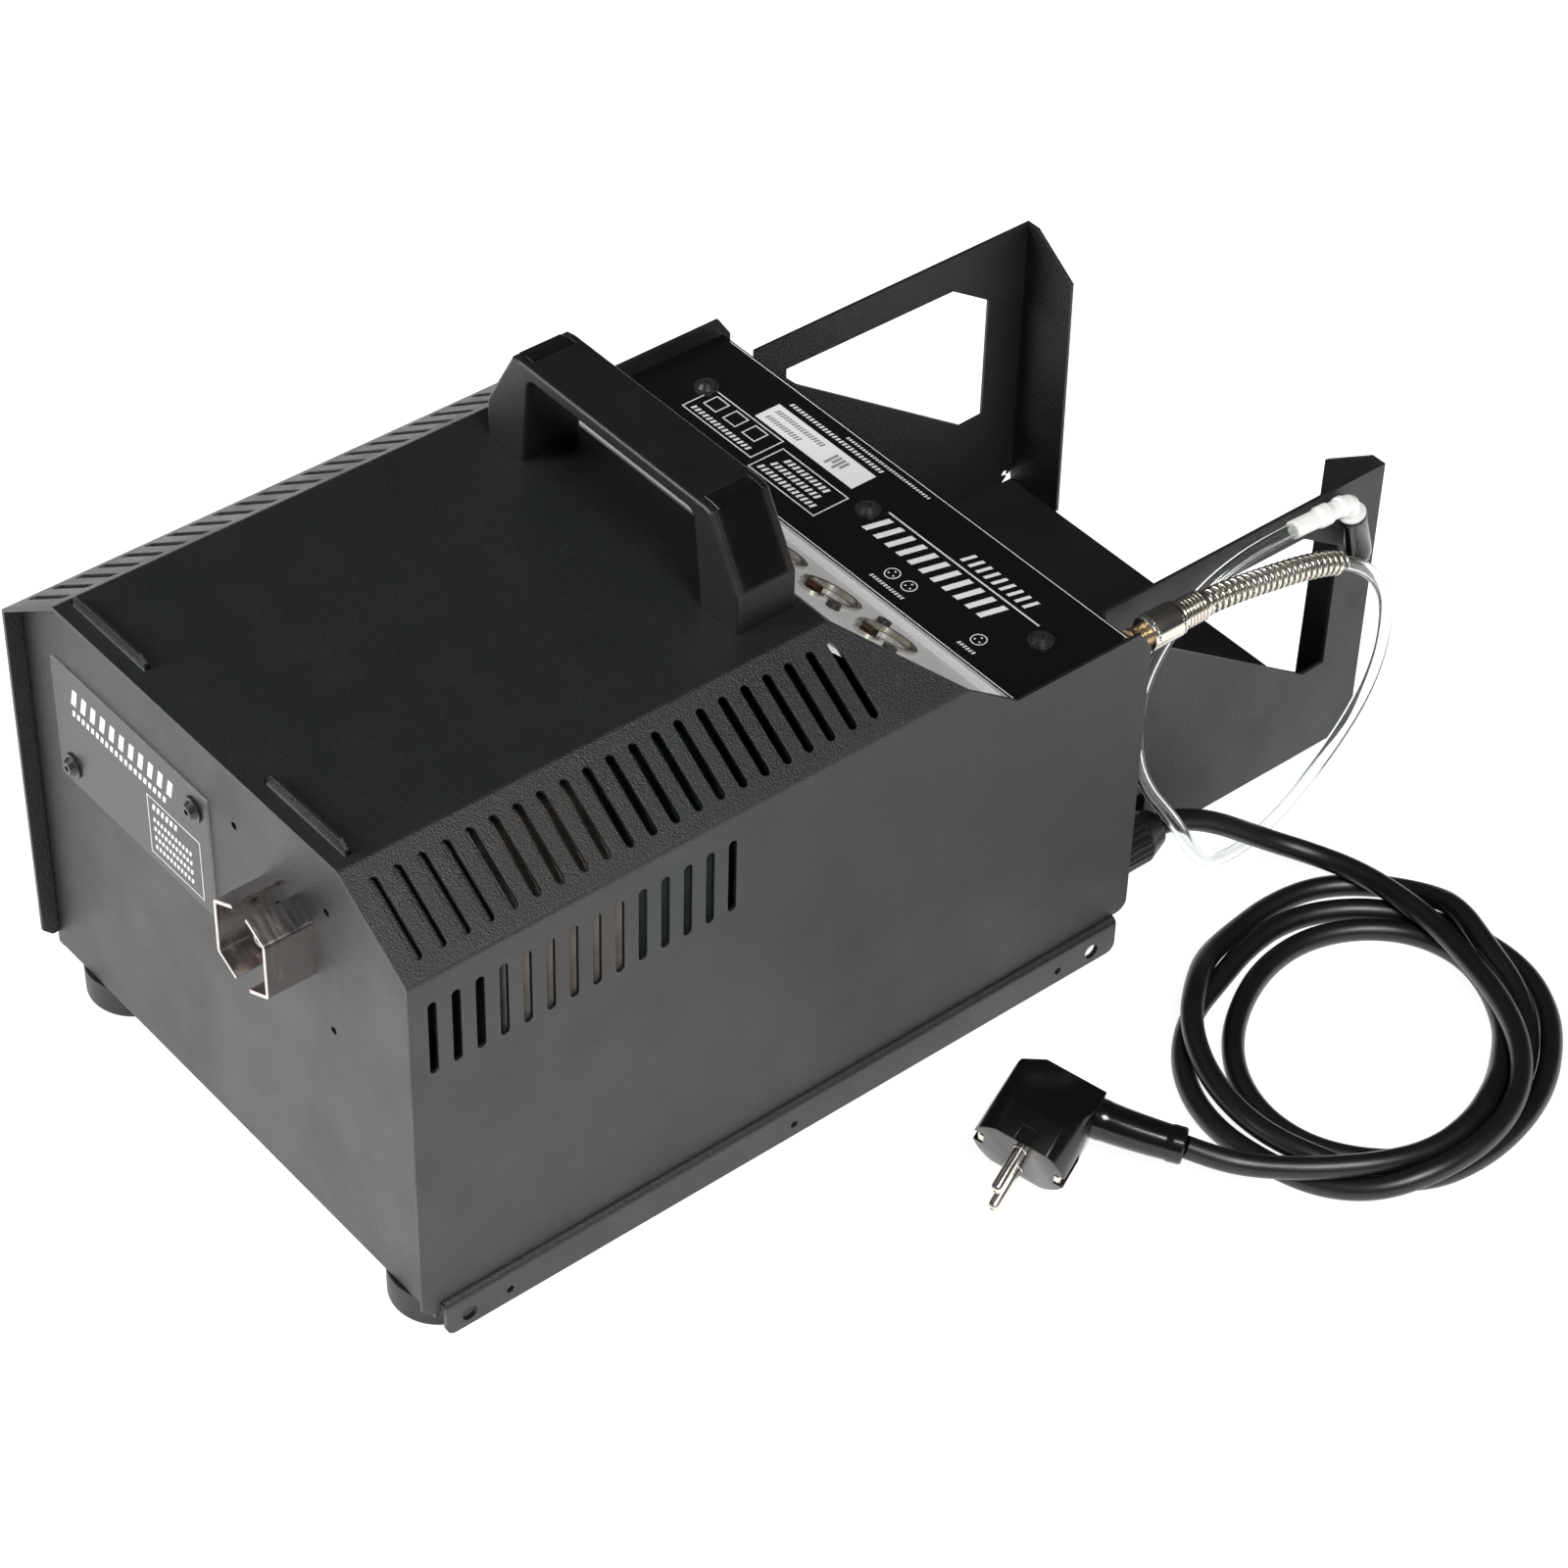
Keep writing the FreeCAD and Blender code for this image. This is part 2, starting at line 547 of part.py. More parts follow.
def make_button(x, s):
    cap = rod((0, 0, -4.0), (0, 0, 1), BUTTON_R, 6.0)
    cap = cap.makeFillet(0.6, [e for e in cap.Edges if e.BoundBox.ZMin > 1.9])
    return placed(cap, slope_placement(x, s))


# ---------------------------------------------------------------- carrying handle
HANDLE_MID_Y = (HANDLE_Y0 + HANDLE_Y1) / 2
HANDLE_SCREW_X = (-62.0, 62.5)
HANDLE_FOOT_H = 16.5
HANDLE_SLOPE_IN = 16.0
HANDLE_LEG_W = 22.5
HANDLE_BAR_T = 6.0
CAP_EDGE = 3.6
CAP_T = 2.2
CAP_GAP = 0.25


def handle_outline():
    z0 = TOP_Z
    z1 = TOP_Z + HANDLE_FOOT_H
    return [(HANDLE_X0, z0), (HANDLE_X0, z1), (HANDLE_X0 + HANDLE_SLOPE_IN, HANDLE_TOP - 0.8),
            (HANDLE_X0 + HANDLE_SLOPE_IN + 4, HANDLE_TOP), (HANDLE_X1 - HANDLE_SLOPE_IN - 4, HANDLE_TOP),
            (HANDLE_X1 - HANDLE_SLOPE_IN, HANDLE_TOP - 0.8), (HANDLE_X1, z1), (HANDLE_X1, z0)]


def cap_solid(sign, sink, proud, margin):
    """The screw cover's block over the handle's slanted end: sink deep, proud of the surface."""
    if sign > 0:
        line = [(HANDLE_X1 - HANDLE_SLOPE_IN - 8 - margin, HANDLE_TOP),
                (HANDLE_X1 - HANDLE_SLOPE_IN - 4, HANDLE_TOP),
                (HANDLE_X1 - HANDLE_SLOPE_IN, HANDLE_TOP - 0.8),
                (HANDLE_X1 - 0.6 + 0.2 * margin, TOP_Z + HANDLE_FOOT_H + 1.0 - 0.8 * margin)]
        outer = offset_line(line, proud)
        inner = offset_line(line, -sink)
        outline = outer + inner[::-1]
    else:
        line = [(HANDLE_X0 + HANDLE_SLOPE_IN + 8 + margin, HANDLE_TOP),
                (HANDLE_X0 + HANDLE_SLOPE_IN + 4, HANDLE_TOP),
                (HANDLE_X0 + HANDLE_SLOPE_IN, HANDLE_TOP - 0.8),
                (HANDLE_X0 + 0.6 - 0.2 * margin, TOP_Z + HANDLE_FOOT_H + 1.0 - 0.8 * margin)]
        outer = offset_line(line, -proud)
        inner = offset_line(line, sink)
        outline = outer + inner[::-1]
    return prism_xz(outline, HANDLE_Y0 + CAP_EDGE - margin, HANDLE_Y1 - CAP_EDGE + margin)


def make_handle():
    body = prism_xz(handle_outline(), HANDLE_Y0, HANDLE_Y1)
    opening = [(HANDLE_X0 + HANDLE_LEG_W - 1, TOP_Z - 1), (HANDLE_X0 + HANDLE_LEG_W + 3.5, HANDLE_TOP - HANDLE_BAR_T),
               (HANDLE_X1 - HANDLE_LEG_W - 3.5, HANDLE_TOP - HANDLE_BAR_T), (HANDLE_X1 - HANDLE_LEG_W + 1, TOP_Z - 1)]
    body = body.cut(prism_xz(opening, HANDLE_Y0 - 1, HANDLE_Y1 + 1))
    body = round_edges(body, 4.0, lambda e: along(e, Y_AXIS) and abs(e.Vertexes[0].Z - HANDLE_TOP + HANDLE_BAR_T) < 0.1)
    body = round_edges(body, 1.4, lambda e: e.BoundBox.ZMax > TOP_Z + 2 and not along(e, Y_AXIS))
    cutters = [cap_solid(sign, CAP_T + 0.2, 2.0, CAP_GAP) for sign in (-1, 1)]
    for x in HANDLE_SCREW_X:
        cutters.append(rod((x, HANDLE_MID_Y, TOP_Z + 8), (0, 0, 1), 5.6, 30))
        cutters.append(rod((x, HANDLE_MID_Y, TOP_Z - 1), (0, 0, 1), 3.1, 20))
    return cut_all(body, cutters)


def make_handle_cap(sign):
    cap = cap_solid(sign, CAP_T, 0.2, 0.0)
    return round_edges(cap, 0.5, lambda e: e.BoundBox.ZMax > TOP_Z + HANDLE_FOOT_H + 1 and not along(e, Y_AXIS)
                       and e.Length > 3 and abs(e.Vertexes[0].Y - e.Vertexes[1].Y) < 0.1)


def make_handle_screws():
    return group([pan_screw((x, HANDLE_MID_Y, TOP_Z + 8), (0, 0, -1), 3.0, 16.0, 5.0, 4.0) for x in HANDLE_SCREW_X])


# ---------------------------------------------------------------- nozzle and its guard
GUARD_T = 1.5
GUARD_LINE = [(5.0, 18.0), (15.6, 12.3), (15.6, -12.3), (4.0, -18.0)]


def make_guard(sign):
    """One folded half of the heat guard; the other is the same piece turned half round."""
    line = [(NOZZLE_X + sign * x, NOZZLE_Z + sign * z) for x, z in GUARD_LINE]
    bracket = prism_xz(sheet_outline(line, -GUARD_T), FRONT_PANEL_Y - GUARD_REACH, FRONT_PANEL_Y)
    bracket = round_edges(bracket, 2.2, lambda e: along(e, Y_AXIS) and on_guard_bend(e, sign, 0.0))
    return round_edges(bracket, 0.8, lambda e: along(e, Y_AXIS) and on_guard_bend(e, sign, GUARD_T))


def on_guard_bend(edge, sign, depth):
    line = [(NOZZLE_X + sign * x, NOZZLE_Z + sign * z) for x, z in GUARD_LINE]
    bends = offset_line(line, -depth)[1:3]
    p = edge.Vertexes[0].Point
    return any(math.hypot(p.x - x, p.z - z) < 0.05 for x, z in bends)


def make_nozzle():
    start = CORE_Y0
    pipe = rod((NOZZLE_X, FRONT_PANEL_Y - 9, NOZZLE_Z), (0, 1, 0), 4.0, start - FRONT_PANEL_Y + 9)
    nut = prism_xz([(NOZZLE_X + 8 * math.cos(math.radians(60 * k)), NOZZLE_Z + 8 * math.sin(math.radians(60 * k)))
                    for k in range(6)], FRONT_PANEL_Y - 3.5, FRONT_PANEL_Y + 4.5)
    tip = cone((NOZZLE_X, FRONT_PANEL_Y - 13, NOZZLE_Z), (0, 1, 0), 2.6, 4.0, 4.0)
    bore = rod((NOZZLE_X, FRONT_PANEL_Y - 14, NOZZLE_Z), (0, 1, 0), 1.2, 20)
    return fuse_all([pipe, nut, tip]).cut(bore)


# ---------------------------------------------------------------- heater
CORE_X0, CORE_X1 = 34.0, 90.0
CORE_Y0, CORE_Y1 = FRONT + 60.0, FRONT + 194.0
CORE_Z0, CORE_Z1 = 124.0, 176.0
WRAP_X0 = 8.0
WRAP_GAP = 6.5
WRAP_Z0 = 96.0
WRAP_Y0, WRAP_Y1 = FRONT + 46.0, FRONT + 212.0
ELEMENT_R = 5.0
ELEMENTS = [(74.0, 136.0), (74.0, 164.0)]


def make_heater_core():
    core = box(CORE_X0, CORE_X1, CORE_Y0, CORE_Y1, CORE_Z0, CORE_Z1)
    cutters = [rod((x, CORE_Y0 + 6, z), (0, 1, 0), ELEMENT_R, CORE_Y1 - CORE_Y0) for x, z in ELEMENTS]
    for k in range(4):
        cutters.append(box(CORE_X0 - 1, CORE_X0 + 4, CORE_Y0 + 14 + 30 * k, CORE_Y0 + 22 + 30 * k,
                           CORE_Z0 - 1, CORE_Z1 + 1))
    return cut_all(core, cutters)


def make_heating_elements():
    return group([rod((x, CORE_Y0 + 6, z), (0, 1, 0), ELEMENT_R, CORE_Y1 - CORE_Y0 + 4) for x, z in ELEMENTS])


def make_heater_insulation():
    line = offset_line(cover_line(WRAP_Z0), -(COVER_T + WRAP_GAP))
    top_z = line[3][1] - 5.0
    outline = [(WRAP_X0, WRAP_Z0), (WRAP_X0, top_z), (line[3][0] + 5.0, top_z),
               (line[4][0] - 5.0, line[4][1] - 4.0), (line[4][0] - 5.0, WRAP_Z0)]
    wrap = prism_xz(outline, WRAP_Y0, WRAP_Y1)
    wrap = round_edges(wrap, 9.0, lambda e: along(e, Y_AXIS))
    room = box(CORE_X0 - 3, CORE_X1 + 3, CORE_Y0 - 2, WRAP_Y1 + 1, CORE_Z0 - 3, CORE_Z1 + 3)
    pipe_hole = rod((NOZZLE_X, WRAP_Y0 - 1, NOZZLE_Z), (0, 1, 0), 5.0, 30)
    return cut_all(wrap, [room, pipe_hole])


def make_heater_brackets():
    brackets = []
    for y in (FRONT + 78.0, FRONT + 182.0):
        line = [(y + 16, BASE_TOP), (y, BASE_TOP), (y, WRAP_Z0), (y + 16, WRAP_Z0)]
        bracket = prism_yz(sheet_outline(line, -2.0), 24.0, 98.0)
        brackets.append(bracket.cut(box(42, 80, y - 1, y + 3, BASE_TOP + 16, WRAP_Z0 - 16)))
    return group(brackets)


def make_thermostat():
    disc = rod((56.0, CORE_Y1, NOZZLE_Z), (0, 1, 0), 8.0, 5.0)
    stem = rod((56.0, CORE_Y1 + 5, NOZZLE_Z), (0, 1, 0), 5.0, 5.0)
    tabs = [box(56.0 + d - 2, 56.0 + d + 2, CORE_Y1 + 8, CORE_Y1 + 15, NOZZLE_Z - 0.4, NOZZLE_Z + 0.4)
            for d in (-3.0, 3.0)]
    return fuse_all([disc, stem] + tabs)


# ---------------------------------------------------------------- pump
PUMP_X, PUMP_Z = -70.0, 72.0
PUMP_Y0, PUMP_Y1 = -40.0, 50.0
PISTON_R = 4.95
BORE_R = 5.0


def make_pump_body():
    barrel = rod((PUMP_X, PUMP_Y0, PUMP_Z), (0, 1, 0), 9.0, PUMP_Y1 - PUMP_Y0)
    ports = [rod((PUMP_X, PUMP_Y0 - 8, PUMP_Z), (0, 1, 0), 4.0, 8), rod((PUMP_X, PUMP_Y1, PUMP_Z), (0, 1, 0), 4.0, 8)]
    collar = rod((PUMP_X, PUMP_Y0, PUMP_Z), (0, 1, 0), 12.0, 14)
    chamber = rod((PUMP_X, PUMP_Y0 + 18, PUMP_Z), (0, 1, 0), BORE_R, 64)
    return fuse_all([barrel, collar] + ports).cut(chamber)


def make_pump_coil():
    block = box(PUMP_X - 19, PUMP_X + 19, -16, 34, PUMP_Z - 19, PUMP_Z + 19)
    return block.cut(rod((PUMP_X, -20, PUMP_Z), (0, 1, 0), 9.0, 60))


def make_pump_piston():
    return rod((PUMP_X, PUMP_Y0 + 34, PUMP_Z), (0, 1, 0), PISTON_R, 32)


def make_pump_spring():
    return tube((PUMP_X, PUMP_Y0 + 66, PUMP_Z), (0, 1, 0), 4.6, 3.6, 16)


def make_pump_bracket():
    line = [(PUMP_X - 30, BASE_TOP + 8), (PUMP_X - 23, BASE_TOP + 8), (PUMP_X - 23, PUMP_Z - 19),
            (PUMP_X + 23, PUMP_Z - 19), (PUMP_X + 23, BASE_TOP + 8), (PUMP_X + 30, BASE_TOP + 8)]
    return prism_xz(sheet_outline(line, -2.0), -14, 32)


def make_pump_mounts():
    return group([rod((PUMP_X + dx, y, BASE_TOP), (0, 0, 1), 5.0, 8 - 2.0)
                  for dx in (-27.5, 27.5) for y in (-6.0, 24.0)])


# ---------------------------------------------------------------- control board and inner lines
BOARD = (-114.0, -34.0, FRONT + 40.0, FRONT + 170.0)
BOARD_Z = BASE_TOP + 14.0


def make_control_board():
    x0, x1, y0, y1 = BOARD
    board = box(x0, x1, y0, y1, BOARD_Z, BOARD_Z + 1.6)
    top = BOARD_Z + 1.6
    parts = [box(x0 + 8, x0 + 36, y0 + 10, y0 + 28, top, top + 16), box(x0 + 8, x0 + 36, y0 + 34, y0 + 52, top, top + 16),
             box(x1 - 26, x1 - 6, y0 + 12, y0 + 60, top, top + 24), box(x0 + 10, x0 + 60, y1 - 18, y1 - 8, top, top + 10),
             box(x0 + 44, x0 + 56, y0 + 60, y0 + 72, top, top + 2.2), rod((x0 + 20, y0 + 72, top), (0, 0, 1), 6.0, 22),
             rod((x0 + 20, y0 + 88, top), (0, 0, 1), 5.0, 18)]
    holes = [rod((x, y, BOARD_Z - 1), (0, 0, 1), 1.6, 5) for x, y in board_corners()]
    return fuse_all([board] + parts).cut(group(holes))


def board_corners():
    x0, x1, y0, y1 = BOARD
    return [(x, y) for x in (x0 + 5, x1 - 5) for y in (y0 + 5, y1 - 5)]


def make_board_standoffs():
    return group([rod((x, y, BASE_TOP), (0, 0, 1), 3.0, BOARD_Z - BASE_TOP) for x, y in board_corners()])


INLET_ROUTE = [(117.5, 88.5, 153.9), (117.4, 68.0, 151.0), (116.0, 58.0, 131.0), (111.0, 66.0, 105.0),
               (96.0, 76.0, 78.0), (72.0, 76.0, 56.0), (44.0, 77.0, 44.0), (14.0, 79.0, 40.0), (-16.0, 81.0, 42.0),
               (-44.0, 86.0, 50.0), (-61.0, 84.0, 62.0), (-69.5, 72.0, 70.0), (-70.0, 58.0, 72.0)]
OUTLET_ROUTE = [(-70.0, -48.0, 72.0), (-69.0, -64.0, 74.0), (-58.0, -77.0, 82.0), (-42.0, -72.0, 93.0),
                (-28.0, -56.0, 106.0), (-18.0, -34.0, 122.0), (-8.0, -14.0, 138.0), (6.0, 0.0, 148.0),
                (24.0, 3.0, 150.5), (38.0, -7.0, 150.0), (43.5, -22.0, 150.0), (43.5, -40.0, 150.0)]


# ---------------------------------------------------------------- cable gland, lead and plug
GLAND_THREAD_R = 7.4
GLAND_NUT_Y0, GLAND_NUT_Y1 = 103.4, 129.0
CORD_START_Y = 114.0
LEAD_ROUTE = [(111.5, 114.0, 44.0), (111.5, 126.0, 44.0), (111.6, 139.0, 43.2), (116.0, 158.6, 34.2),
              (124.9, 178.7, 19.9), (139.1, 193.2, 13.7), (158.2, 200.6, 13.7)]
TAIL_ROUTE = [(230.4, 36.6, 20.9), (241.5, 47.8, 15.8), (253.5, 60.0, 14.2), (266.2, 74.7, 14.0)]
COIL_CENTRE = (220.0, 141.0)
COIL_OUTER = (77.6, 76.4, 78.1, 81.4, 84.0, 86.4, 91.3, 91.9, 86.8, 78.5, 73.4, 71.5, 74.5, 78.6, 81.8, 84.8,
              86.2, 83.7)
COIL_INNER = (55.0, 50.7, 50.0, 51.7, 52.7, 54.8, 57.0, 54.4, 49.5, 45.4, 43.0, 42.9, 44.6, 48.2, 52.6, 56.6,
              58.7, 58.6)
COIL_HEIGHT = 19.0

PLUG_ORIGIN = (195.2, -14.0, 18.8)
PLUG_U = (0.907, 0.373, -0.195)
PLUG_W = (-0.295, 0.894, 0.338)
PLUG_R = 19.6
PLUG_H = 38.0
RELIEF_START = (16.5, 0.0, 29.0)
PIN_R = 2.4
PIN_LEN = 19.0
PIN_SPACING = 19.0


def hexagon(centre, radius, y0, y1, turn=0.0):
    cx, cz = centre
    corners = [(cx + radius * math.cos(math.radians(60 * k + turn)), cz + radius * math.sin(math.radians(60 * k + turn)))
               for k in range(6)]
    return prism_xz(corners, y0, y1)


def make_gland_body():
    sleeve = rod((GLAND_X, 86.0, GLAND_Z), (0, 1, 0), GLAND_THREAD_R, CORD_START_Y - 86.0)
    outer_hex = hexagon((GLAND_X, GLAND_Z), 11.4, REAR_PANEL_Y, GLAND_NUT_Y0 - 0.3)
    lock_nut = hexagon((GLAND_X, GLAND_Z), 11.4, 90.0, REAR_PANEL_Y - SHEET_T)
    return fuse_all([sleeve, outer_hex, lock_nut])


def make_gland_nut():
    length = GLAND_NUT_Y1 - GLAND_NUT_Y0
    grip = rod((GLAND_X, GLAND_NUT_Y0, GLAND_Z), (0, 1, 0), 11.0, length - 9)
    dome = cone((GLAND_X, GLAND_NUT_Y1 - 9, GLAND_Z), (0, 1, 0), 11.0, 7.6, 9)
    nut = grip.fuse(dome)
    ribs = []
    for k in range(24):
        a = 2 * math.pi * k / 24
        x = GLAND_X + 11.3 * math.cos(a)
        z = GLAND_Z + 11.3 * math.sin(a)
        ribs.append(rod((x, GLAND_NUT_Y0 + 1.5, z), (0, 1, 0), 0.8, length - 11))
    thread = rod((GLAND_X, GLAND_NUT_Y0 - 1, GLAND_Z), (0, 1, 0), GLAND_THREAD_R + 0.1, CORD_START_Y - GLAND_NUT_Y0 + 1.5)
    bore = rod((GLAND_X, GLAND_NUT_Y0, GLAND_Z), (0, 1, 0), CORD_D / 2 + 0.6, length + 1)
    return cut_all(nut, ribs + [thread, bore])


def make_coil():
    """The outer shape of the loose turns of the lead, lying on the floor."""
    rings = []
    for radii in (COIL_OUTER, COIL_INNER):
        step = 2 * math.pi / len(radii)
        points = [Vector(COIL_CENTRE[0] + r * math.cos(step * k), COIL_CENTRE[1] + r * math.sin(step * k), 0)
                  for k, r in enumerate(radii)]
        curve = Part.BSplineCurve()
        curve.interpolate(points, PeriodicFlag=True)
        rings.append(Part.Face(Part.Wire(curve.toShape())).extrude(Vector(0, 0, COIL_HEIGHT)))
    return rings[0].cut(rings[1])


def plug_place():
    return frame_placement(PLUG_ORIGIN, PLUG_U, PLUG_W)


def make_plug_body():
    drum = rod((0, 0, 0), (0, 0, 1), PLUG_R, PLUG_H)
    sides = [Vector(-30, y, z) for y, z in ((-16.5, -1), (16.5, -1), (16.5, 13.5), (5.5, PLUG_H + 1), (-5.5, PLUG_H + 1),
                                           (-16.5, 13.5))]
    wedge = face_of(sides).extrude(Vector(60, 0, 0))
    nose = [Vector(x, -30, z) for x, z in ((-PLUG_R - 1, -1), (-PLUG_R - 1, 30), (-9, PLUG_H + 1), (16, PLUG_H + 1),
                                          (19.0, 20), (PLUG_R + 1, 12), (PLUG_R + 1, -1))]
    head = drum.common(wedge).common(face_of(nose).extrude(Vector(0, 60, 0)))
    recess = group([rod((0, s * PIN_SPACING / 2, -0.01), (0, 0, 1), 3.4, 0.8) for s in (-1, 1)])
    head = placed(head.cut(recess).removeSplitter(), plug_place())
    start = plug_place().multVec(Vector(*RELIEF_START))
    end = Vector(*TAIL_ROUTE[0])
    root = start - (end - start).normalize() * 4
    relief = Part.makeCone(7.4, 5.6, (end - root).Length, root, end - root)
    return head.fuse(relief).removeSplitter()


def make_plug_pins():
    pins = []
    for s in (-1, 1):
        pin = rod((0, s * PIN_SPACING / 2, -PIN_LEN), (0, 0, 1), PIN_R, PIN_LEN + 0.8)
        pin = pin.makeFillet(1.2, [e for e in pin.Edges if e.BoundBox.ZMax < -PIN_LEN + 0.1 and len(e.Vertexes) == 1])
        pins.append(placed(pin, plug_place()))
    return group(pins)


# ---------------------------------------------------------------- fluid coupling, hose and its end
NUT_Y0, NUT_Y1 = 107.5, 123.5
NIPPLE_Y0 = CONTROL_PLATE_Y1 + 0.1
STUD_Z = 153.9
STUD_R = 2.0
HOSE_ROUTE = [(117.5, 116.0, 157.5), (117.5, 136.0, 157.4), (117.5, 155.0, 155.4), (117.4, 174.0, 151.4),
              (117.3, 193.0, 147.2), (117.6, 212.0, 141.0), (119.8, 228.0, 130.0), (120.0, 238.5, 114.0),
              (118.0, 243.5, 96.0), (118.0, 242.5, 77.0), (118.0, 235.5, 59.0), (118.0, 223.5, 43.5),
              (118.2, 208.0, 30.0), (118.8, 190.5, 19.0), (119.6, 171.5, 14.5), (120.6, 154.0, 18.0),
              (121.2, 142.5, 30.5), (120.6, 135.0, 46.0), (118.8, 126.5, 60.5), (117.4, 117.0, 75.5),
              (116.2, 111.0, 92.0), (113.8, 111.0, 109.0), (110.6, 116.5, 123.5), (108.6, 126.5, 136.0),
              (108.2, 138.5, 147.0), (108.6, 151.5, 155.0), (109.4, 166.0, 160.0), (110.2, 181.0, 162.0),
              (110.5, 195.5, 161.8)]
SPRING_COUNT = 6
HOSE_END = HOSE_ROUTE[-1]
LEG_DIR = (0.0, 0.30, -0.95)
ELBOW_CORNER = (110.5, 221.5, 160.5)


def make_coupling_nipple():
    stud = rod((COUPLING_X, 91.0, STUD_Z), (0, 1, 0), STUD_R, 9.0)
    foot = box(COUPLING_X - 4.5, COUPLING_X + 4.5, REAR_PANEL_Y, NIPPLE_Y0, STUD_Z - 3.4, SHELF_Z)
    collar = rod((COUPLING_X, NIPPLE_Y0, COUPLING_Z), (0, 1, 0), 5.2, 1.6)
    thread = rod((COUPLING_X, NIPPLE_Y0 + 1.6, COUPLING_Z), (0, 1, 0), 4.8, HOSE_ROUTE[0][1] - NIPPLE_Y0 - 1.6)
    grooves = [tube((COUPLING_X, 102.2 + 1.1 * k, COUPLING_Z), (0, 1, 0), 6.0, 4.45, 0.45) for k in range(5)]
    return cut_all(fuse_all([stud, foot, collar, thread]), grooves)


def make_coupling_nut():
    nut = rod((COUPLING_X, NUT_Y0, COUPLING_Z), (0, 1, 0), 7.2, NUT_Y1 - NUT_Y0)
    nut = nut.makeChamfer(0.7, [e for e in nut.Edges if len(e.Vertexes) == 1])
    thread = rod((COUPLING_X, NUT_Y0 - 1, COUPLING_Z), (0, 1, 0), 4.88, 116.3 - NUT_Y0 + 1)
    bore = rod((COUPLING_X, NUT_Y0, COUPLING_Z), (0, 1, 0), HOSE_D / 2 + 0.35, 30)
    return cut_all(nut, [thread, bore])


def make_spring_guard():
    """Outer shape of the ribbed sleeve and the coil spring round the hose."""
    route = [(COUPLING_X, NUT_Y1 + 0.4, COUPLING_Z)] + HOSE_ROUTE[1:SPRING_COUNT]
    outer = cord_tube(route, 9.6, "spring guard")
    inner = cord_tube(route, HOSE_D + 1.2, "spring bore")
    sleeve = tube((COUPLING_X, NUT_Y1 + 0.4, COUPLING_Z), (0, 1, 0), 5.5, HOSE_D / 2 + 0.4, 12.0)
    return outer.cut(inner).fuse(sleeve).removeSplitter()


def make_hose_elbow():
    corner = Vector(*ELBOW_CORNER)
    start = Vector(*HOSE_END)
    leg = Vector(*LEG_DIR).normalize()
    arm = Part.makeCylinder(3.9, (corner - start).Length, start, corner - start)
    ball = Part.makeSphere(4.0, corner)
    down = Part.makeCylinder(4.0, 6.0, corner, leg)
    flange = Part.makeCylinder(6.0, 1.6, corner + leg * 4.5, leg)
    collar = Part.makeCylinder(4.6, 3.0, start + (corner - start).normalize() * 12, corner - start)
    return fuse_all([arm, ball, down, flange, collar])


def make_hose_cap():
    leg = Vector(*LEG_DIR).normalize()
    start = Vector(*ELBOW_CORNER) + leg * 6.3
    cap = Part.makeCylinder(5.5, 28.0, start, leg)
    return cap.makeFillet(4.0, [e for e in cap.Edges if len(e.Vertexes) == 1
                                and (e.Vertexes[0].Point - start).dot(leg) > 20])


# ---------------------------------------------------------------- canister tray
TRAY_SCREW_X = (-80.0, 80.0)
TRAY_SCREW_Z = TRAY_FLOOR_Z + 12.0
TRAY_WINDOW = [(116.3, 147.2), (205.3, 146.5), (226.0, 133.0), (226.0, 73.3), (214.3, 72.9), (122.5, 136.4),
               (116.3, 142.8)]


def make_tray_floor():
    inner = TRAY_X - TRAY_T
    floor = box(-inner, inner, TRAY_FRONT, TRAY_REAR - TRAY_T, TRAY_FLOOR_Z - TRAY_T, TRAY_FLOOR_Z)
    upstand = box(-inner + 14, inner - 14, TRAY_FRONT, TRAY_FRONT + TRAY_T, TRAY_FLOOR_Z, TRAY_FLOOR_Z + 22)
    holes = [rod((x, TRAY_FRONT - 1, TRAY_SCREW_Z), (0, 1, 0), 2.1, 5) for x in TRAY_SCREW_X]
    return cut_all(fuse_all([floor, upstand]), holes)


def make_tray_side(sign):
    bottom = TRAY_FLOOR_Z - TRAY_T
    step_y = CONTROL_PLATE_Y1 + 0.2
    step_z = SHELF_Z - 0.3
    outline = [(TRAY_FRONT, bottom), (TRAY_REAR - 8, bottom), (TRAY_REAR, bottom + 8), (TRAY_REAR, TRAY_TOP_Z),
               (step_y, TRAY_TOP_Z), (step_y, step_z), (TRAY_FRONT, step_z)]
    xs = sorted((sign * (TRAY_X - TRAY_T), sign * TRAY_X))
    plate = prism_yz(outline, *xs).cut(prism_yz(TRAY_WINDOW, xs[0] - 1, xs[1] + 1))
    hook = [(TRAY_X, bottom + 8), (TRAY_X, TRAY_TOP_Z), (97.0, TRAY_TOP_Z), (74.5, TRAY_TOP_Z - 15.5), (73.0, TRAY_FLOOR_Z),
            (TRAY_X - TRAY_T, TRAY_FLOOR_Z)]
    flange = prism_xz([(sign * x, z) for x, z in hook], TRAY_REAR - TRAY_T, TRAY_REAR)
    front = [sign * (TRAY_X - TRAY_T), sign * (TRAY_X - 14)]
    foot = box(min(front), max(front), TRAY_FRONT, TRAY_FRONT + TRAY_T, TRAY_FLOOR_Z + 24, SHELF_Z - 6)
    side = fuse_all([plate, flange, foot])
    side = side.removeSplitter()
    if sign > 0:
        side = side.cut(box(100, 110, TRAY_FRONT - 1, GLAND_NUT_Y1 + 2, GLAND_Z - 13, GLAND_Z + 13))
    return side.cut(rod((sign * 120, TRAY_REAR - 5.0, TRAY_FLOOR_Z + 4.0), (-sign, 0, 0), 1.8, 30))


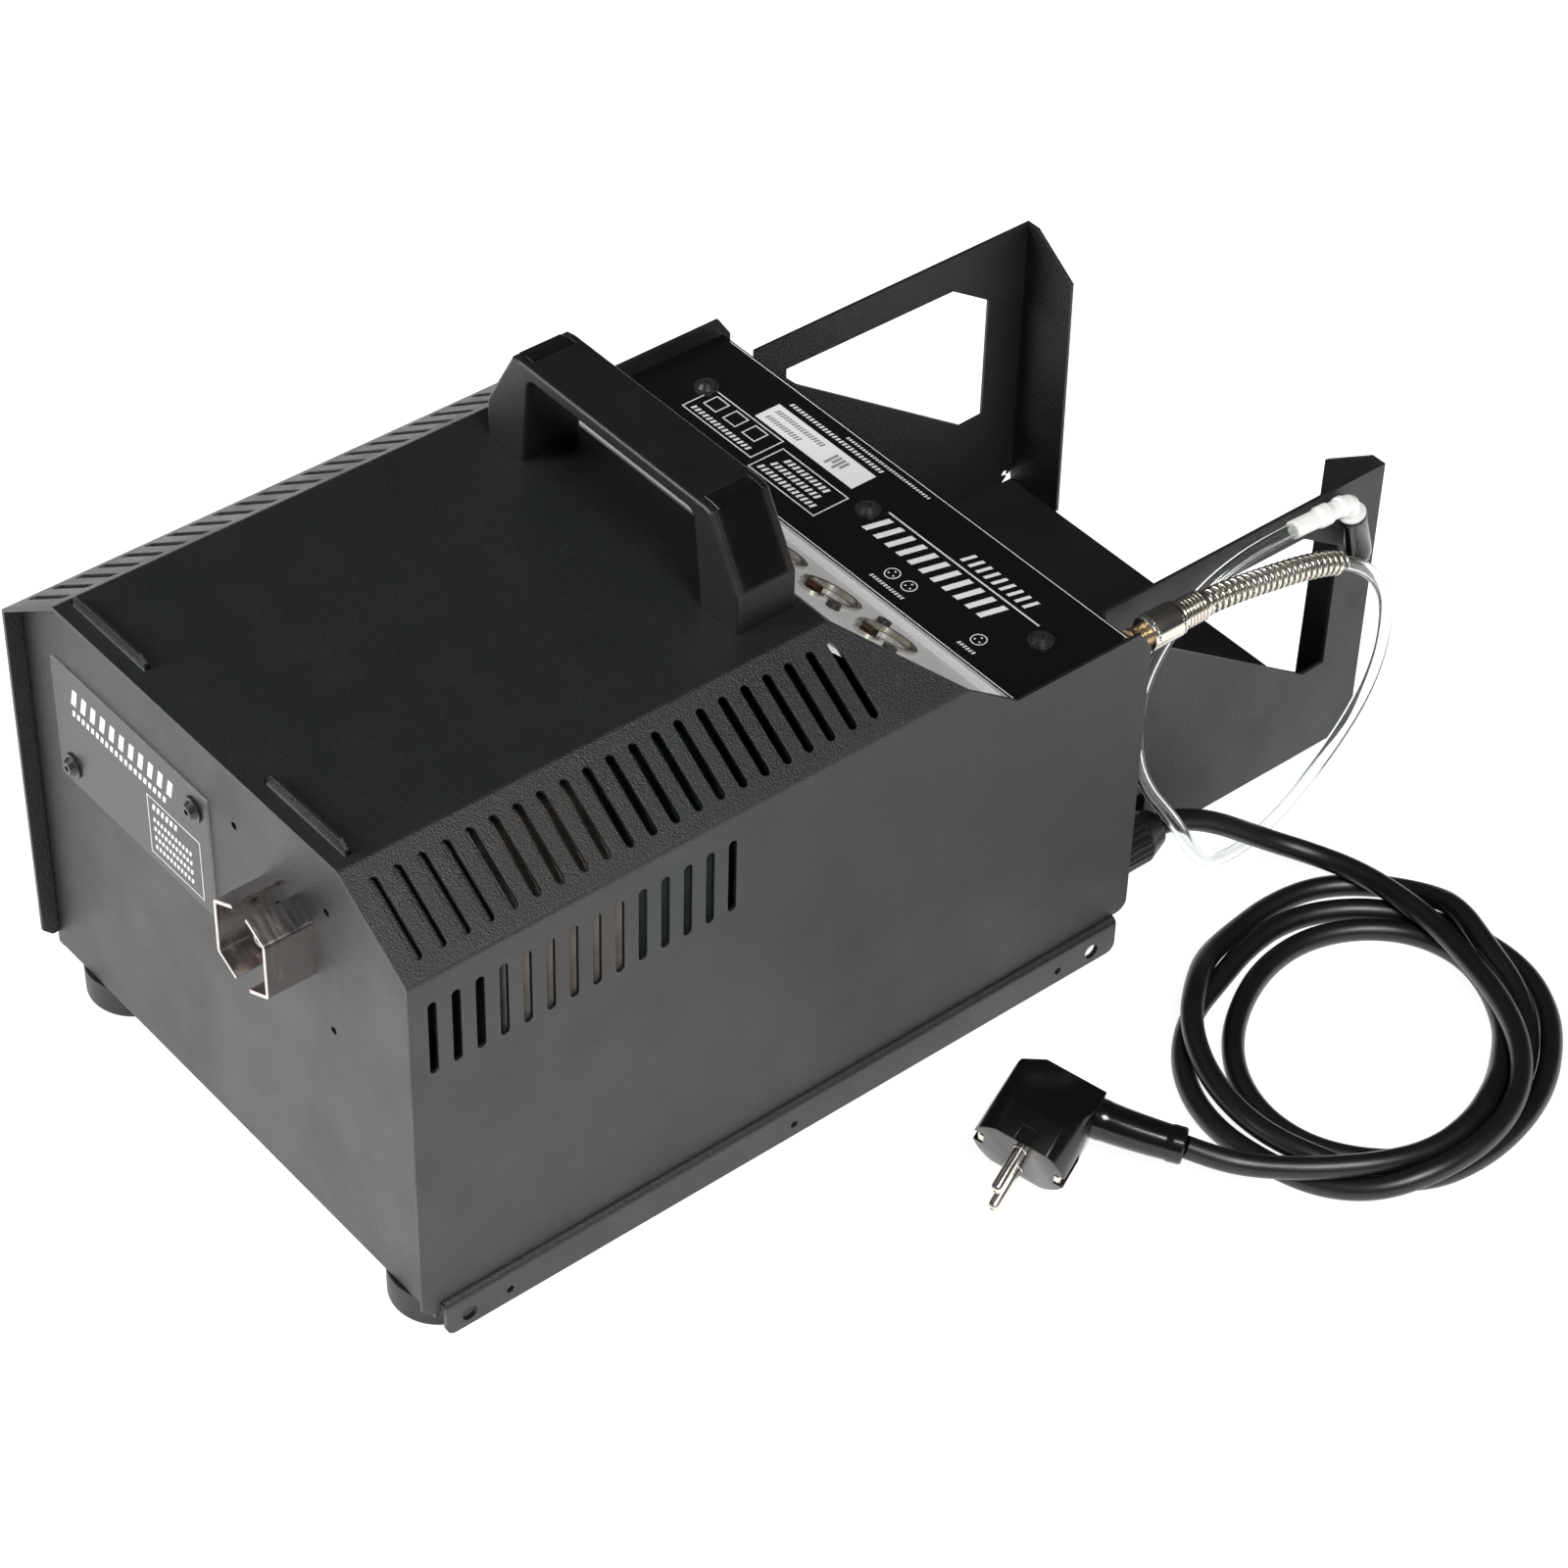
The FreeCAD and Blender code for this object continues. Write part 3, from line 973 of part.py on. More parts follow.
# ---------------------------------------------------------------- write every piece
NODES = {
    "base_plate": make_base_plate(),
    "rubber_feet": make_rubber_feet(),
    "chassis_screws": make_chassis_screws(),
    "top_cover": make_top_cover(),
    "front_panel": make_front_panel(),
    "name_plate": make_name_plate(),
    "rear_panel": make_rear_panel(),
    "connector_panel": make_connector_panel(),
    "control_plate": make_control_plate(),
    "panel_screws": make_panel_screws(),
    "socket_screws": make_socket_screws(),
    "display_window": make_display_window(),
    "handle": make_handle(),
    "handle_cap_left": make_handle_cap(-1),
    "handle_cap_right": make_handle_cap(1),
    "handle_screws": make_handle_screws(),
    "nozzle": make_nozzle(),
    "nozzle_guard_left": make_guard(-1),
    "nozzle_guard_right": make_guard(1),
    "heater_core": make_heater_core(),
    "heating_elements": make_heating_elements(),
    "heater_insulation": make_heater_insulation(),
    "heater_brackets": make_heater_brackets(),
    "thermostat": make_thermostat(),
    "pump_body": make_pump_body(),
    "pump_coil": make_pump_coil(),
    "pump_piston": make_pump_piston(),
    "pump_spring": make_pump_spring(),
    "pump_bracket": make_pump_bracket(),
    "pump_mounts": make_pump_mounts(),
    "control_board": make_control_board(),
    "board_standoffs": make_board_standoffs(),
    "inlet_line": cord_tube(INLET_ROUTE, HOSE_D, "inlet line"),
    "outlet_line": cord_tube(OUTLET_ROUTE, 4.0, "outlet line"),
    "gland_body": make_gland_body(),
    "gland_nut": make_gland_nut(),
    "mains_lead": cord_tube(LEAD_ROUTE, CORD_D, "mains lead"),
    "mains_coil": make_coil(),
    "mains_tail": cord_tube(TAIL_ROUTE, CORD_D, "mains tail"),
    "plug_body": make_plug_body(),
    "plug_pins": make_plug_pins(),
    "coupling_nipple": make_coupling_nipple(),
    "coupling_nut": make_coupling_nut(),
    "hose_spring_guard": make_spring_guard(),
    "fluid_hose": cord_tube(HOSE_ROUTE, HOSE_D, "fluid hose"),
    "hose_elbow": make_hose_elbow(),
    "hose_cap": make_hose_cap(),
    "tray_floor": make_tray_floor(),
    "tray_side_left": make_tray_side(-1),
    "tray_side_right": make_tray_side(1),
}
for number, socket_x in enumerate(SOCKET_X, start=1):
    NODES[f"signal_socket_{number}"] = make_socket(socket_x)
    NODES[f"socket_latch_{number}"] = make_latch(socket_x)
for number, (button_x, button_s) in enumerate(BUTTONS, start=1):
    NODES[f"menu_button_{number}"] = make_button(button_x, button_s)

for node, solid in NODES.items():
    if not solid.isValid() or solid.Volume <= 0:
        print("check", node, "valid", solid.isValid(), "volume", round(solid.Volume, 1))
    export(node, solid)
print(len(NODES), "pieces written")
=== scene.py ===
"""Fog machine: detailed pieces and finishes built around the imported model."""
import math

import bmesh
import bpy
from bpy.props import FloatProperty, FloatVectorProperty, IntProperty, PointerProperty
from mathutils import Matrix, Vector


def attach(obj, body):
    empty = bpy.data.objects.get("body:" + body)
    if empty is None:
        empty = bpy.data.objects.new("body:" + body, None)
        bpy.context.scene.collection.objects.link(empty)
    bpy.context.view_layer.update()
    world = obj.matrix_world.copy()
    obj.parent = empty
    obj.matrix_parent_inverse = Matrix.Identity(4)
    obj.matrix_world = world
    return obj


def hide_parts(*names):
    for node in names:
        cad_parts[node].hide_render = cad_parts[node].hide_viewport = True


bl_info = {
    "name": "Fog machine",
    "version": (1, 0, 0),
    "blender": (4, 5, 0),
    "location": "View3D > Sidebar > Fog machine",
    "description": "Builds the detailed pieces, finishes and stage of a fog machine",
    "category": "Object",
}

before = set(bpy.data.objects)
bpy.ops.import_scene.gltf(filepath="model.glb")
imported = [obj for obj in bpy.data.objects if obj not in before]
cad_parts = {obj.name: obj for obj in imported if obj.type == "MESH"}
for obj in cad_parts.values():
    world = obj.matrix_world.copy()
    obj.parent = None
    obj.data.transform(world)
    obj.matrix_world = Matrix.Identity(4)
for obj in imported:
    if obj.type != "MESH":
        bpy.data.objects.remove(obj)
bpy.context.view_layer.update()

MM = 0.001
HOUSING = "housing"
SHARP_ANGLE = math.radians(32)
WELD = 1e-4


def mm(*values):
    return Vector(values) * MM


# ------------------------------------------------------------ routes of lead and hose, in millimetres
MAINS_ROUTE = [
    (111.5, 114.0, 44.0), (111.5, 126.0, 44.0), (111.6, 139.0, 43.2), (116.0, 158.6, 34.2),
    (124.9, 178.7, 19.9), (139.1, 193.2, 13.7), (158.2, 200.6, 13.7), (179.6, 203.2, 13.8),
    (201.4, 202.8, 13.9), (222.9, 198.8, 13.1), (243.7, 192.6, 14.1), (263.4, 182.7, 14.4),
    (279.4, 168.0, 13.7), (289.8, 148.8, 13.8), (294.1, 127.3, 14.3), (292.1, 105.6, 13.0),
    (282.5, 86.5, 8.1), (265.2, 74.0, 4.5), (244.0, 66.7, 4.7), (222.0, 64.0, 4.6), (200.7, 69.0, 4.6),
    (182.7, 81.4, 4.7), (169.9, 99.0, 4.8), (163.1, 119.9, 4.6), (156.5, 140.8, 4.8), (154.5, 162.3, 5.1),
    (161.0, 183.3, 4.9), (174.5, 200.9, 4.7), (192.9, 212.5, 4.6), (213.8, 219.2, 4.7),
    (235.7, 218.7, 4.8), (255.5, 209.7, 4.6), (271.5, 194.5, 4.7), (283.8, 175.8, 5.0),
    (291.0, 155.0, 5.1), (293.3, 133.1, 4.9), (289.9, 111.7, 4.5), (277.6, 94.2, 4.8), (259.6, 81.8, 8.8),
    (239.2, 74.0, 9.8), (218.2, 73.5, 10.2), (196.9, 78.7, 11.6), (177.8, 90.0, 14.0),
    (163.3, 107.0, 13.7), (152.5, 123.8, 8.6), (146.6, 144.3, 4.6), (144.2, 166.9, 4.6),
    (147.8, 188.5, 4.6), (160.4, 206.8, 4.6), (180.1, 217.1, 8.3), (198.0, 216.6, 14.6),
    (218.4, 211.2, 12.5), (240.5, 206.6, 8.6), (258.3, 195.5, 5.2), (271.6, 179.0, 4.6),
    (280.7, 159.0, 4.6), (284.0, 137.1, 4.6), (280.7, 115.6, 4.6), (268.0, 98.0, 4.6), (249.5, 85.5, 4.6),
    (228.2, 82.5, 4.6), (207.0, 88.4, 4.8), (189.6, 101.7, 4.8), (176.8, 119.9, 4.6), (168.4, 140.2, 4.6),
    (167.0, 162.0, 4.8), (174.2, 182.9, 4.7), (189.3, 199.5, 4.6), (210.1, 206.3, 4.8),
    (231.1, 201.8, 4.6), (250.4, 190.1, 4.6), (264.1, 173.5, 6.9), (275.3, 156.6, 12.4),
    (283.6, 136.3, 13.9), (284.4, 114.0, 13.2), (277.7, 92.9, 14.7), (266.2, 74.7, 14.6),
    (256.8, 63.6, 14.3), (247.2, 53.6, 14.4), (238.6, 45.0, 16.8), (230.3, 37.2, 21.0),
]
HOSE_ROUTE = [
    (117.5, 116.0, 157.5), (117.5, 136.0, 157.4), (117.5, 155.0, 155.4), (117.4, 174.0, 151.4),
    (117.3, 193.0, 147.2), (117.6, 212.0, 141.0), (119.8, 228.0, 130.0), (120.0, 238.5, 114.0),
    (118.0, 243.5, 96.0), (118.0, 242.5, 77.0), (118.0, 235.5, 59.0), (118.0, 223.5, 43.5),
    (118.2, 208.0, 30.0), (118.8, 190.5, 19.0), (119.6, 171.5, 14.5), (120.6, 154.0, 18.0),
    (121.2, 142.5, 30.5), (120.6, 135.0, 46.0), (118.8, 126.5, 60.5), (117.4, 117.0, 75.5),
    (116.2, 111.0, 92.0), (113.8, 111.0, 109.0), (110.6, 116.5, 123.5), (108.6, 126.5, 136.0),
    (108.2, 138.5, 147.0), (108.6, 151.5, 155.0), (109.4, 166.0, 160.0), (110.2, 181.0, 162.0),
    (110.5, 195.5, 161.8),
]

# the sloping connector panel, as (y, z) pairs in millimetres: a start, the way down and the way out
SLOPE_START = (-27.109, 205.333)
SLOPE_DOWN = (0.80961, -0.58696)
SLOPE_OUT = (0.58696, 0.80961)
SOCKET_X = (9.7, 41.2, 72.7)
SOCKET_DOWN = 56.5


def slope_point(x, down, out):
    """A point across the sloping panel, down from its start and out of its face."""
    y, z = (SLOPE_START[k] + down * SLOPE_DOWN[k] + out * SLOPE_OUT[k] for k in (0, 1))
    return (x, y, z)


# ------------------------------------------------------------ mesh helpers
def place(origin, u, w):
    """Matrix whose x axis is u and whose z axis is w, at origin (millimetres)."""
    w = Vector(w).normalized()
    u = (Vector(u) - Vector(u).dot(w) * w).normalized()
    v = w.cross(u)
    turn = Matrix((u, v, w)).transposed().to_4x4()
    return Matrix.Translation(mm(*origin)) @ turn @ Matrix.Scale(MM, 4)


def add_object(name, mesh, surface, body=HOUSING):
    obj = bpy.data.objects.new(name, mesh)
    bpy.context.scene.collection.objects.link(obj)
    if surface:
        mesh.materials.clear()
        mesh.materials.append(surface)
    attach(obj, body)
    return obj


def finish_mesh(bm, name, surface, matrix=None, body=HOUSING, sharp=SHARP_ANGLE):
    """Turn a bmesh in millimetres into a placed, smooth-shaded piece."""
    bmesh.ops.remove_doubles(bm, verts=bm.verts, dist=WELD)
    bmesh.ops.recalc_face_normals(bm, faces=bm.faces)
    bmesh.ops.transform(bm, matrix=matrix if matrix else Matrix.Scale(MM, 4), verts=bm.verts)
    mesh = bpy.data.meshes.new(name)
    bm.to_mesh(mesh)
    bm.free()
    mesh.polygons.foreach_set("use_smooth", [True] * len(mesh.polygons))
    mesh.set_sharp_from_angle(angle=sharp)
    return add_object(name, mesh, surface, body)


def turn_profile(bm, profile, steps=48, centre=(0, 0)):
    """Spin (radius, height) points about the local z axis."""
    cx, cy = centre
    verts = [bm.verts.new((cx + r, cy, z)) for r, z in profile]
    edges = [bm.edges.new(pair) for pair in zip(verts, verts[1:])]
    bmesh.ops.spin(bm, geom=verts + edges, axis=(0, 0, 1), cent=(cx, cy, 0), angle=2 * math.pi,
                   steps=steps, use_merge=True, use_duplicate=False)


def round_corners(bm, width, angle=28, segments=3):
    """Round every edge that turns more than the angle."""
    bmesh.ops.remove_doubles(bm, verts=bm.verts, dist=WELD)
    bmesh.ops.recalc_face_normals(bm, faces=bm.faces)
    edges = [e for e in bm.edges if len(e.link_faces) == 2 and e.calc_face_angle() > math.radians(angle)]
    bmesh.ops.bevel(bm, geom=edges, offset=width, offset_type="OFFSET", segments=segments, profile=0.5,
                    affect="EDGES", clamp_overlap=True, material=-1)


def add_box(bm, low, high):
    centre = (Vector(low) + Vector(high)) / 2
    size = Vector(high) - Vector(low)
    matrix = Matrix.Translation(centre) @ Matrix.Diagonal((*size, 1))
    bmesh.ops.create_cube(bm, size=1, matrix=matrix)


def add_prism(bm, outline, depth):
    """Extrude a closed flat outline along the local z axis."""
    face = bm.faces.new([bm.verts.new(p) for p in outline])
    top = bmesh.ops.extrude_face_region(bm, geom=[face])["geom"]
    moved = [g for g in top if isinstance(g, bmesh.types.BMVert)]
    bmesh.ops.translate(bm, verts=moved, vec=(0, 0, depth))


def cut_by(bm, point, normal):
    """Slice away what lies outside the plane and close the cut."""
    geom = bm.verts[:] + bm.edges[:] + bm.faces[:]
    cut = bmesh.ops.bisect_plane(bm, geom=geom, dist=1e-5, plane_co=point, plane_no=normal, clear_outer=True)
    rim = [g for g in cut["geom_cut"] if isinstance(g, bmesh.types.BMEdge)]
    if rim:
        bmesh.ops.contextual_create(bm, geom=rim)


def carve(bm, cutter):
    """Subtract the cutter bmesh from bm and return the result as a new bmesh."""
    scene = bpy.context.scene
    objects = []
    for label, part in (("carved", bm), ("cutter", cutter)):
        bmesh.ops.recalc_face_normals(part, faces=part.faces)
        mesh = bpy.data.meshes.new(label)
        part.to_mesh(mesh)
        part.free()
        obj = bpy.data.objects.new(label, mesh)
        scene.collection.objects.link(obj)
        objects.append(obj)
    body, tool = objects
    change = body.modifiers.new("carve", "BOOLEAN")
    change.object = tool
    change.operation = "DIFFERENCE"
    change.solver = "EXACT"
    bpy.context.view_layer.update()
    mesh = bpy.data.meshes.new_from_object(body.evaluated_get(bpy.context.evaluated_depsgraph_get()))
    result = bmesh.new()
    result.from_mesh(mesh)
    for obj in objects:
        old = obj.data
        bpy.data.objects.remove(obj)
        bpy.data.meshes.remove(old)
    bpy.data.meshes.remove(mesh)
    return result


def smooth_curve(name, route, resolution):
    """A curve of one open spline that eases round the corners of a route."""
    curve = bpy.data.curves.new(name, "CURVE")
    curve.dimensions = "3D"
    spline = curve.splines.new("NURBS")
    spline.points.add(len(route) - 1)
    for point, at in zip(spline.points, route):
        point.co = (*at, 1)
    spline.order_u = 3
    spline.use_endpoint_u = True
    spline.resolution_u = resolution
    obj = bpy.data.objects.new(name, curve)
    bpy.context.scene.collection.objects.link(obj)
    return obj


def cord_curve(name, route, diameter, surface):
    """A smooth round cord; its route and diameter are in millimetres."""
    obj = smooth_curve(name, [mm(*at) for at in route], 8)
    curve = obj.data
    curve.bevel_depth = diameter * MM / 2
    curve.bevel_resolution = 6
    curve.use_fill_caps = True
    curve.materials.append(surface)
    return obj


def path_points(route):
    """Points read along the smooth spline through a route, in millimetres."""
    obj = smooth_curve("path", route, 24)
    curve = obj.data
    bpy.context.view_layer.update()
    mesh = bpy.data.meshes.new_from_object(obj)
    points = [v.co.copy() for v in mesh.vertices]
    bpy.data.objects.remove(obj)
    bpy.data.curves.remove(curve)
    bpy.data.meshes.remove(mesh)
    return points


# ------------------------------------------------------------ finishes
class Finish:
    """Builds one procedural material around a Principled shader."""

    def __init__(self, name, colour, roughness, metallic=0.0, **sockets):
        self.material = bpy.data.materials.new(name)
        self.material.use_nodes = True
        self.tree = self.material.node_tree
        self.shader = self.tree.nodes["Principled BSDF"]
        self.set("Base Color", (*colour, 1.0))
        self.set("Roughness", roughness)
        self.set("Metallic", metallic)
        for key, value in sockets.items():
            self.set(key.replace("_", " "), value)
        self.coords = self.node("ShaderNodeTexCoord").outputs["Object"]
        self.normal = None

    def set(self, socket, value):
        self.shader.inputs[socket].default_value = value

    def node(self, kind, **values):
        made = self.tree.nodes.new(kind)
        for key, value in values.items():
            setattr(made, key, value)
        return made

    def link(self, source, target):
        self.tree.links.new(source, target)

    def noise(self, scale, detail=2.0, roughness=0.5, stretch=None):
        texture = self.node("ShaderNodeTexNoise")
        texture.inputs["Scale"].default_value = scale
        texture.inputs["Detail"].default_value = detail
        texture.inputs["Roughness"].default_value = roughness
        source = self.coords
        if stretch:
            mapping = self.node("ShaderNodeMapping")
            mapping.inputs["Scale"].default_value = stretch
            self.link(source, mapping.inputs["Vector"])
            source = mapping.outputs["Vector"]
        self.link(source, texture.inputs["Vector"])
        return texture.outputs["Fac"]

    def ramp(self, source, stops):
        ramp = self.node("ShaderNodeValToRGB")
        elements = ramp.color_ramp.elements
        while len(elements) < len(stops):
            elements.new(0.5)
        for element, (position, value) in zip(elements, stops):
            element.position = position
            element.color = (*value, 1.0) if isinstance(value, tuple) else (value, value, value, 1.0)
        self.link(source, ramp.inputs["Fac"])
        return ramp.outputs["Color"]

    def soft_edges(self, radius):
        bevel = self.node("ShaderNodeBevel", samples=4)
        bevel.inputs["Radius"].default_value = radius
        self.normal = bevel.outputs["Normal"]
        self.link(self.normal, self.shader.inputs["Normal"])
        return self

    def bump(self, source, distance, strength=1.0):
        bump = self.node("ShaderNodeBump")
        bump.inputs["Distance"].default_value = distance
        bump.inputs["Strength"].default_value = strength
        self.link(source, bump.inputs["Height"])
        if self.normal:
            self.link(self.normal, bump.inputs["Normal"])
        self.normal = bump.outputs["Normal"]
        self.link(self.normal, self.shader.inputs["Normal"])
        return self

    def vary_roughness(self, source, low, high):
        self.link(self.ramp(source, [(0.3, low), (0.7, high)]), self.shader.inputs["Roughness"])
        return self

    def vary_colour(self, source, dark, light, low=0.35, high=0.65):
        self.link(self.ramp(source, [(low, dark), (high, light)]), self.shader.inputs["Base Color"])
        return self


def powder_coat(name, colour, roughness, grain, depth, edge=0.0005):
    """Fine orange-peel powder coating with slightly worn variation."""
    finish = Finish(name, colour, roughness)
    finish.soft_edges(edge)
    finish.bump(finish.noise(grain, 3.0, 0.6), depth)
    finish.vary_roughness(finish.noise(38.0, 4.0), roughness - 0.05, roughness + 0.06)
    lighter = tuple(c * 1.25 + 0.001 for c in colour)
    finish.vary_colour(finish.noise(grain * 0.8, 2.0), colour, lighter)
    return finish.material


def brushed_metal(name, colour, roughness, stretch, depth=0.00002):
    finish = Finish(name, colour, roughness, 1.0)
    finish.soft_edges(0.0003)
    grain = finish.noise(60.0, 3.0, 0.6, stretch)
    finish.bump(grain, depth, 0.6)
    finish.vary_roughness(grain, roughness - 0.06, roughness + 0.1)
    return finish.material


def moulded(name, colour, roughness, grain=1400.0, depth=0.00004, edge=0.0006):
    finish = Finish(name, colour, roughness)
    finish.soft_edges(edge)
    finish.bump(finish.noise(grain, 2.0), depth, 0.7)
    finish.vary_roughness(finish.noise(60.0, 3.0), roughness - 0.04, roughness + 0.05)
    return finish.material


def highlit_edge_plate(name, colour, axis):
    """Printed metal plate: dark faces across one axis, the other faces painted pale and partly metallic as an
    edge highlight.
    """
    finish = Finish(name, colour, 0.3)
    finish.bump(finish.noise(1500.0, 2.0), 0.00002)
    split = finish.node("ShaderNodeSeparateXYZ")
    finish.link(finish.tree.nodes["Texture Coordinate"].outputs["Normal"], split.inputs["Vector"])
    size = finish.node("ShaderNodeMath", operation="ABSOLUTE")
    finish.link(split.outputs[axis], size.inputs[0])
    face = finish.node("ShaderNodeMath", operation="GREATER_THAN")
    finish.link(size.outputs[0], face.inputs[0])
    # the faces along the plate's edges get a pale grey, partly metallic colour: a painted edge highlight
    finish.link(finish.ramp(face.outputs[0], [(0.0, (0.6, 0.6, 0.6)), (1.0, colour)]),
                finish.shader.inputs["Base Color"])
    finish.link(finish.ramp(face.outputs[0], [(0.0, 0.7), (1.0, 0.0)]), finish.shader.inputs["Metallic"])
    return finish.material


def socket_finish(name, centre):
    """Nickel shell with a pale insert inside it."""
    finish = Finish(name, (0.5, 0.5, 0.5), 0.22)
    gap = finish.node("ShaderNodeVectorMath", operation="DISTANCE")
    finish.link(finish.coords, gap.inputs[0])
    gap.inputs[1].default_value = mm(*centre)
    shell = finish.node("ShaderNodeMath", operation="GREATER_THAN")
    shell.inputs[1].default_value = 9.3 * MM
    finish.link(gap.outputs["Value"], shell.inputs[0])
    finish.link(finish.ramp(shell.outputs[0], [(0.0, (0.42, 0.42, 0.41)), (1.0, (0.72, 0.68, 0.62))]),
                finish.shader.inputs["Base Color"])
    finish.link(finish.ramp(shell.outputs[0], [(0.0, 0.0), (1.0, 1.0)]), finish.shader.inputs["Metallic"])
    return finish.material


def insulation_wool():
    """Fibrous wool whose colour changes in bands from the front to the rear."""
    wool = Finish("insulation wool", (0.3, 0.27, 0.22), 0.95)
    fibres = wool.noise(420.0, 6.0, 0.7, (1, 0.25, 1))
    wool.bump(fibres, 0.0008)
    along = wool.node("ShaderNodeSeparateXYZ")
    wool.link(wool.coords, along.inputs["Vector"])
    span = wool.node("ShaderNodeMapRange")
    span.inputs["From Min"].default_value = -0.23
    span.inputs["From Max"].default_value = 0.0
    wool.link(along.outputs["Y"], span.inputs["Value"])
    front = (0.035, 0.05, 0.05)
    pale = (0.34, 0.30, 0.26)
    rear = (0.03, 0.042, 0.042)
    stops = [(0.0, front), (0.19, front), (0.2, pale), (0.42, pale), (0.43, rear), (0.62, rear),
             (0.66, (0.004, 0.004, 0.004))]
    wool.link(wool.ramp(span.outputs["Result"], stops), wool.shader.inputs["Base Color"])
    return wool.material


def clear_tube():
    """Clear tube with a faintly uneven wall."""
    hose = Finish("clear hose", (0.93, 0.95, 0.94), 0.08, 0.0, Transmission_Weight=1.0, IOR=1.35)
    hose.bump(hose.noise(220.0), 0.00003)
    return hose.material


def make_finishes():
    """Every finish by its own name, shared by new pieces and carried-over nodes."""
    colours = bpy.context.scene.fog_machine
    dark = tuple(colours.housing_colour)
    m = {}
    m["housing paint"] = powder_coat("housing paint", dark, 0.4, 1300.0, 0.0003)
    m["tray paint"] = powder_coat("tray paint", (0.008, 0.0082, 0.0085), 0.44, 1200.0, 0.0004)
    # name and control plates: dark faces with painted edge highlights
    m["name plate"] = highlit_edge_plate("name plate", (0.012, 0.0125, 0.0135), 1)
    m["control plate"] = highlit_edge_plate("control plate", (0.003, 0.0032, 0.0038), 2)
    m["light panel"] = powder_coat("light panel", (0.5, 0.5, 0.495), 0.4, 1600.0, 0.00003)
    m["stainless"] = brushed_metal("stainless", (0.60, 0.55, 0.53), 0.2, (1, 6, 1), 0.000002)
    m["nickel"] = brushed_metal("nickel", (0.72, 0.68, 0.62), 0.18, (1, 1, 1), 0.000004)
    m["brass"] = brushed_metal("brass", (0.72, 0.55, 0.34), 0.24, (1, 1, 1), 0.00001)
    m["zinc sheet"] = brushed_metal("zinc sheet", (0.20, 0.25, 0.25), 0.4, (8, 1, 1))
    m["cast aluminium"] = brushed_metal("cast aluminium", (0.62, 0.63, 0.64), 0.42, (1, 1, 1), 0.0001)
    m["blacked screw"] = moulded("blacked screw", (0.02, 0.02, 0.021), 0.3, 2000.0, 0.00001, 0.0003)
    m["handle plastic"] = moulded("handle plastic", (0.006, 0.0062, 0.0066), 0.4, 1500.0, 0.00008, 0.0008)
    m["gloss plastic"] = moulded("gloss plastic", (0.004, 0.004, 0.0045), 0.16, 900.0, 0.00001)
    m["gland plastic"] = moulded("gland plastic", (0.006, 0.006, 0.0065), 0.34)
    m["foot rubber"] = moulded("foot rubber", (0.006, 0.006, 0.006), 0.5, 900.0, 0.00008, 0.001)
    m["cord rubber"] = moulded("cord rubber", (0.005, 0.0052, 0.0056), 0.36, 1800.0, 0.00003)
    m["white plastic"] = moulded("white plastic", (0.8, 0.8, 0.78), 0.3)
    m["print white"] = moulded("print white", (0.72, 0.73, 0.72), 0.45)
    m["print grey"] = moulded("print grey", (0.24, 0.25, 0.26), 0.4)
    m["latch bronze"] = brushed_metal("latch bronze", (0.16, 0.10, 0.07), 0.3, (1, 1, 1), 0.00001)
    m["board green"] = moulded("board green", (0.012, 0.07, 0.035), 0.4, 400.0, 0.0001)
    m["display glass"] = moulded("display glass", (0.006, 0.008, 0.012), 0.08, 1000.0, 0.000001)
    for k, x in enumerate(SOCKET_X):
        m["socket %d" % (k + 1)] = socket_finish("socket %d" % (k + 1), slope_point(x, SOCKET_DOWN, -1.0))
    m["insulation wool"] = insulation_wool()
    m["clear hose"] = clear_tube()
    return m


FINISHES = {}


# ------------------------------------------------------------ settings
class FogMachineSettings(bpy.types.PropertyGroup):
    housing_colour: FloatVectorProperty(name="Housing colour", description="Powder coat of the housing",
                                        subtype="COLOR", default=(0.0075, 0.0088, 0.0096), min=0, max=1)
    lead_diameter: FloatProperty(name="Lead diameter", description="Outside diameter of the mains lead",
                                 default=9.0 * MM, min=0.004, max=0.02, subtype="DISTANCE", unit="LENGTH")
    hose_diameter: FloatProperty(name="Hose diameter", description="Outside diameter of the clear hose",
                                 default=6.0 * MM, min=0.003, max=0.012, subtype="DISTANCE", unit="LENGTH")
    key_strength: FloatProperty(name="Key light", description="Strength of the large soft light",
                                default=1.0, min=0, max=10)
    spring_turns: IntProperty(name="Spring turns", description="Turns of the hose spring guard",
                              default=24, min=5, max=80)


# ------------------------------------------------------------ stage
CAMERA_AT = (995.48, -816.82, 1211.95)
CAMERA_RIGHT = (0.63475, 0.77242, 0.02137)
CAMERA_BACK = (0.56670, -0.48414, 0.66667)
CAMERA_LENS = 101.71


def add_area_light(name, at, aim, size, power, size_y=None):
    light = bpy.data.lights.new(name, "AREA")
    light.shape = "RECTANGLE"
    light.size = size
    light.size_y = size_y or size
    light.energy = power
    obj = bpy.data.objects.new(name, light)
    obj.location = at
    obj.rotation_euler = (Vector(aim) - Vector(at)).to_track_quat("-Z", "Y").to_euler()
    bpy.context.scene.collection.objects.link(obj)
    return obj


SKY_BASE = 0.6
SKY_LOBES = [((0.60, 0.42, 0.68), 1.0, 6.0), ((0.30, -0.38, 0.87), 2.0, 7.0), ((0.95, -0.25, 0.2), 0.9, 4.0),
             ((-0.90, -0.40, 0.2), 1.2, 3.0), ((-0.1, -0.98, 0.15), 1.2, 3.0),
             ((-0.75, 0.10, 0.65), 0.7, 4.0)]


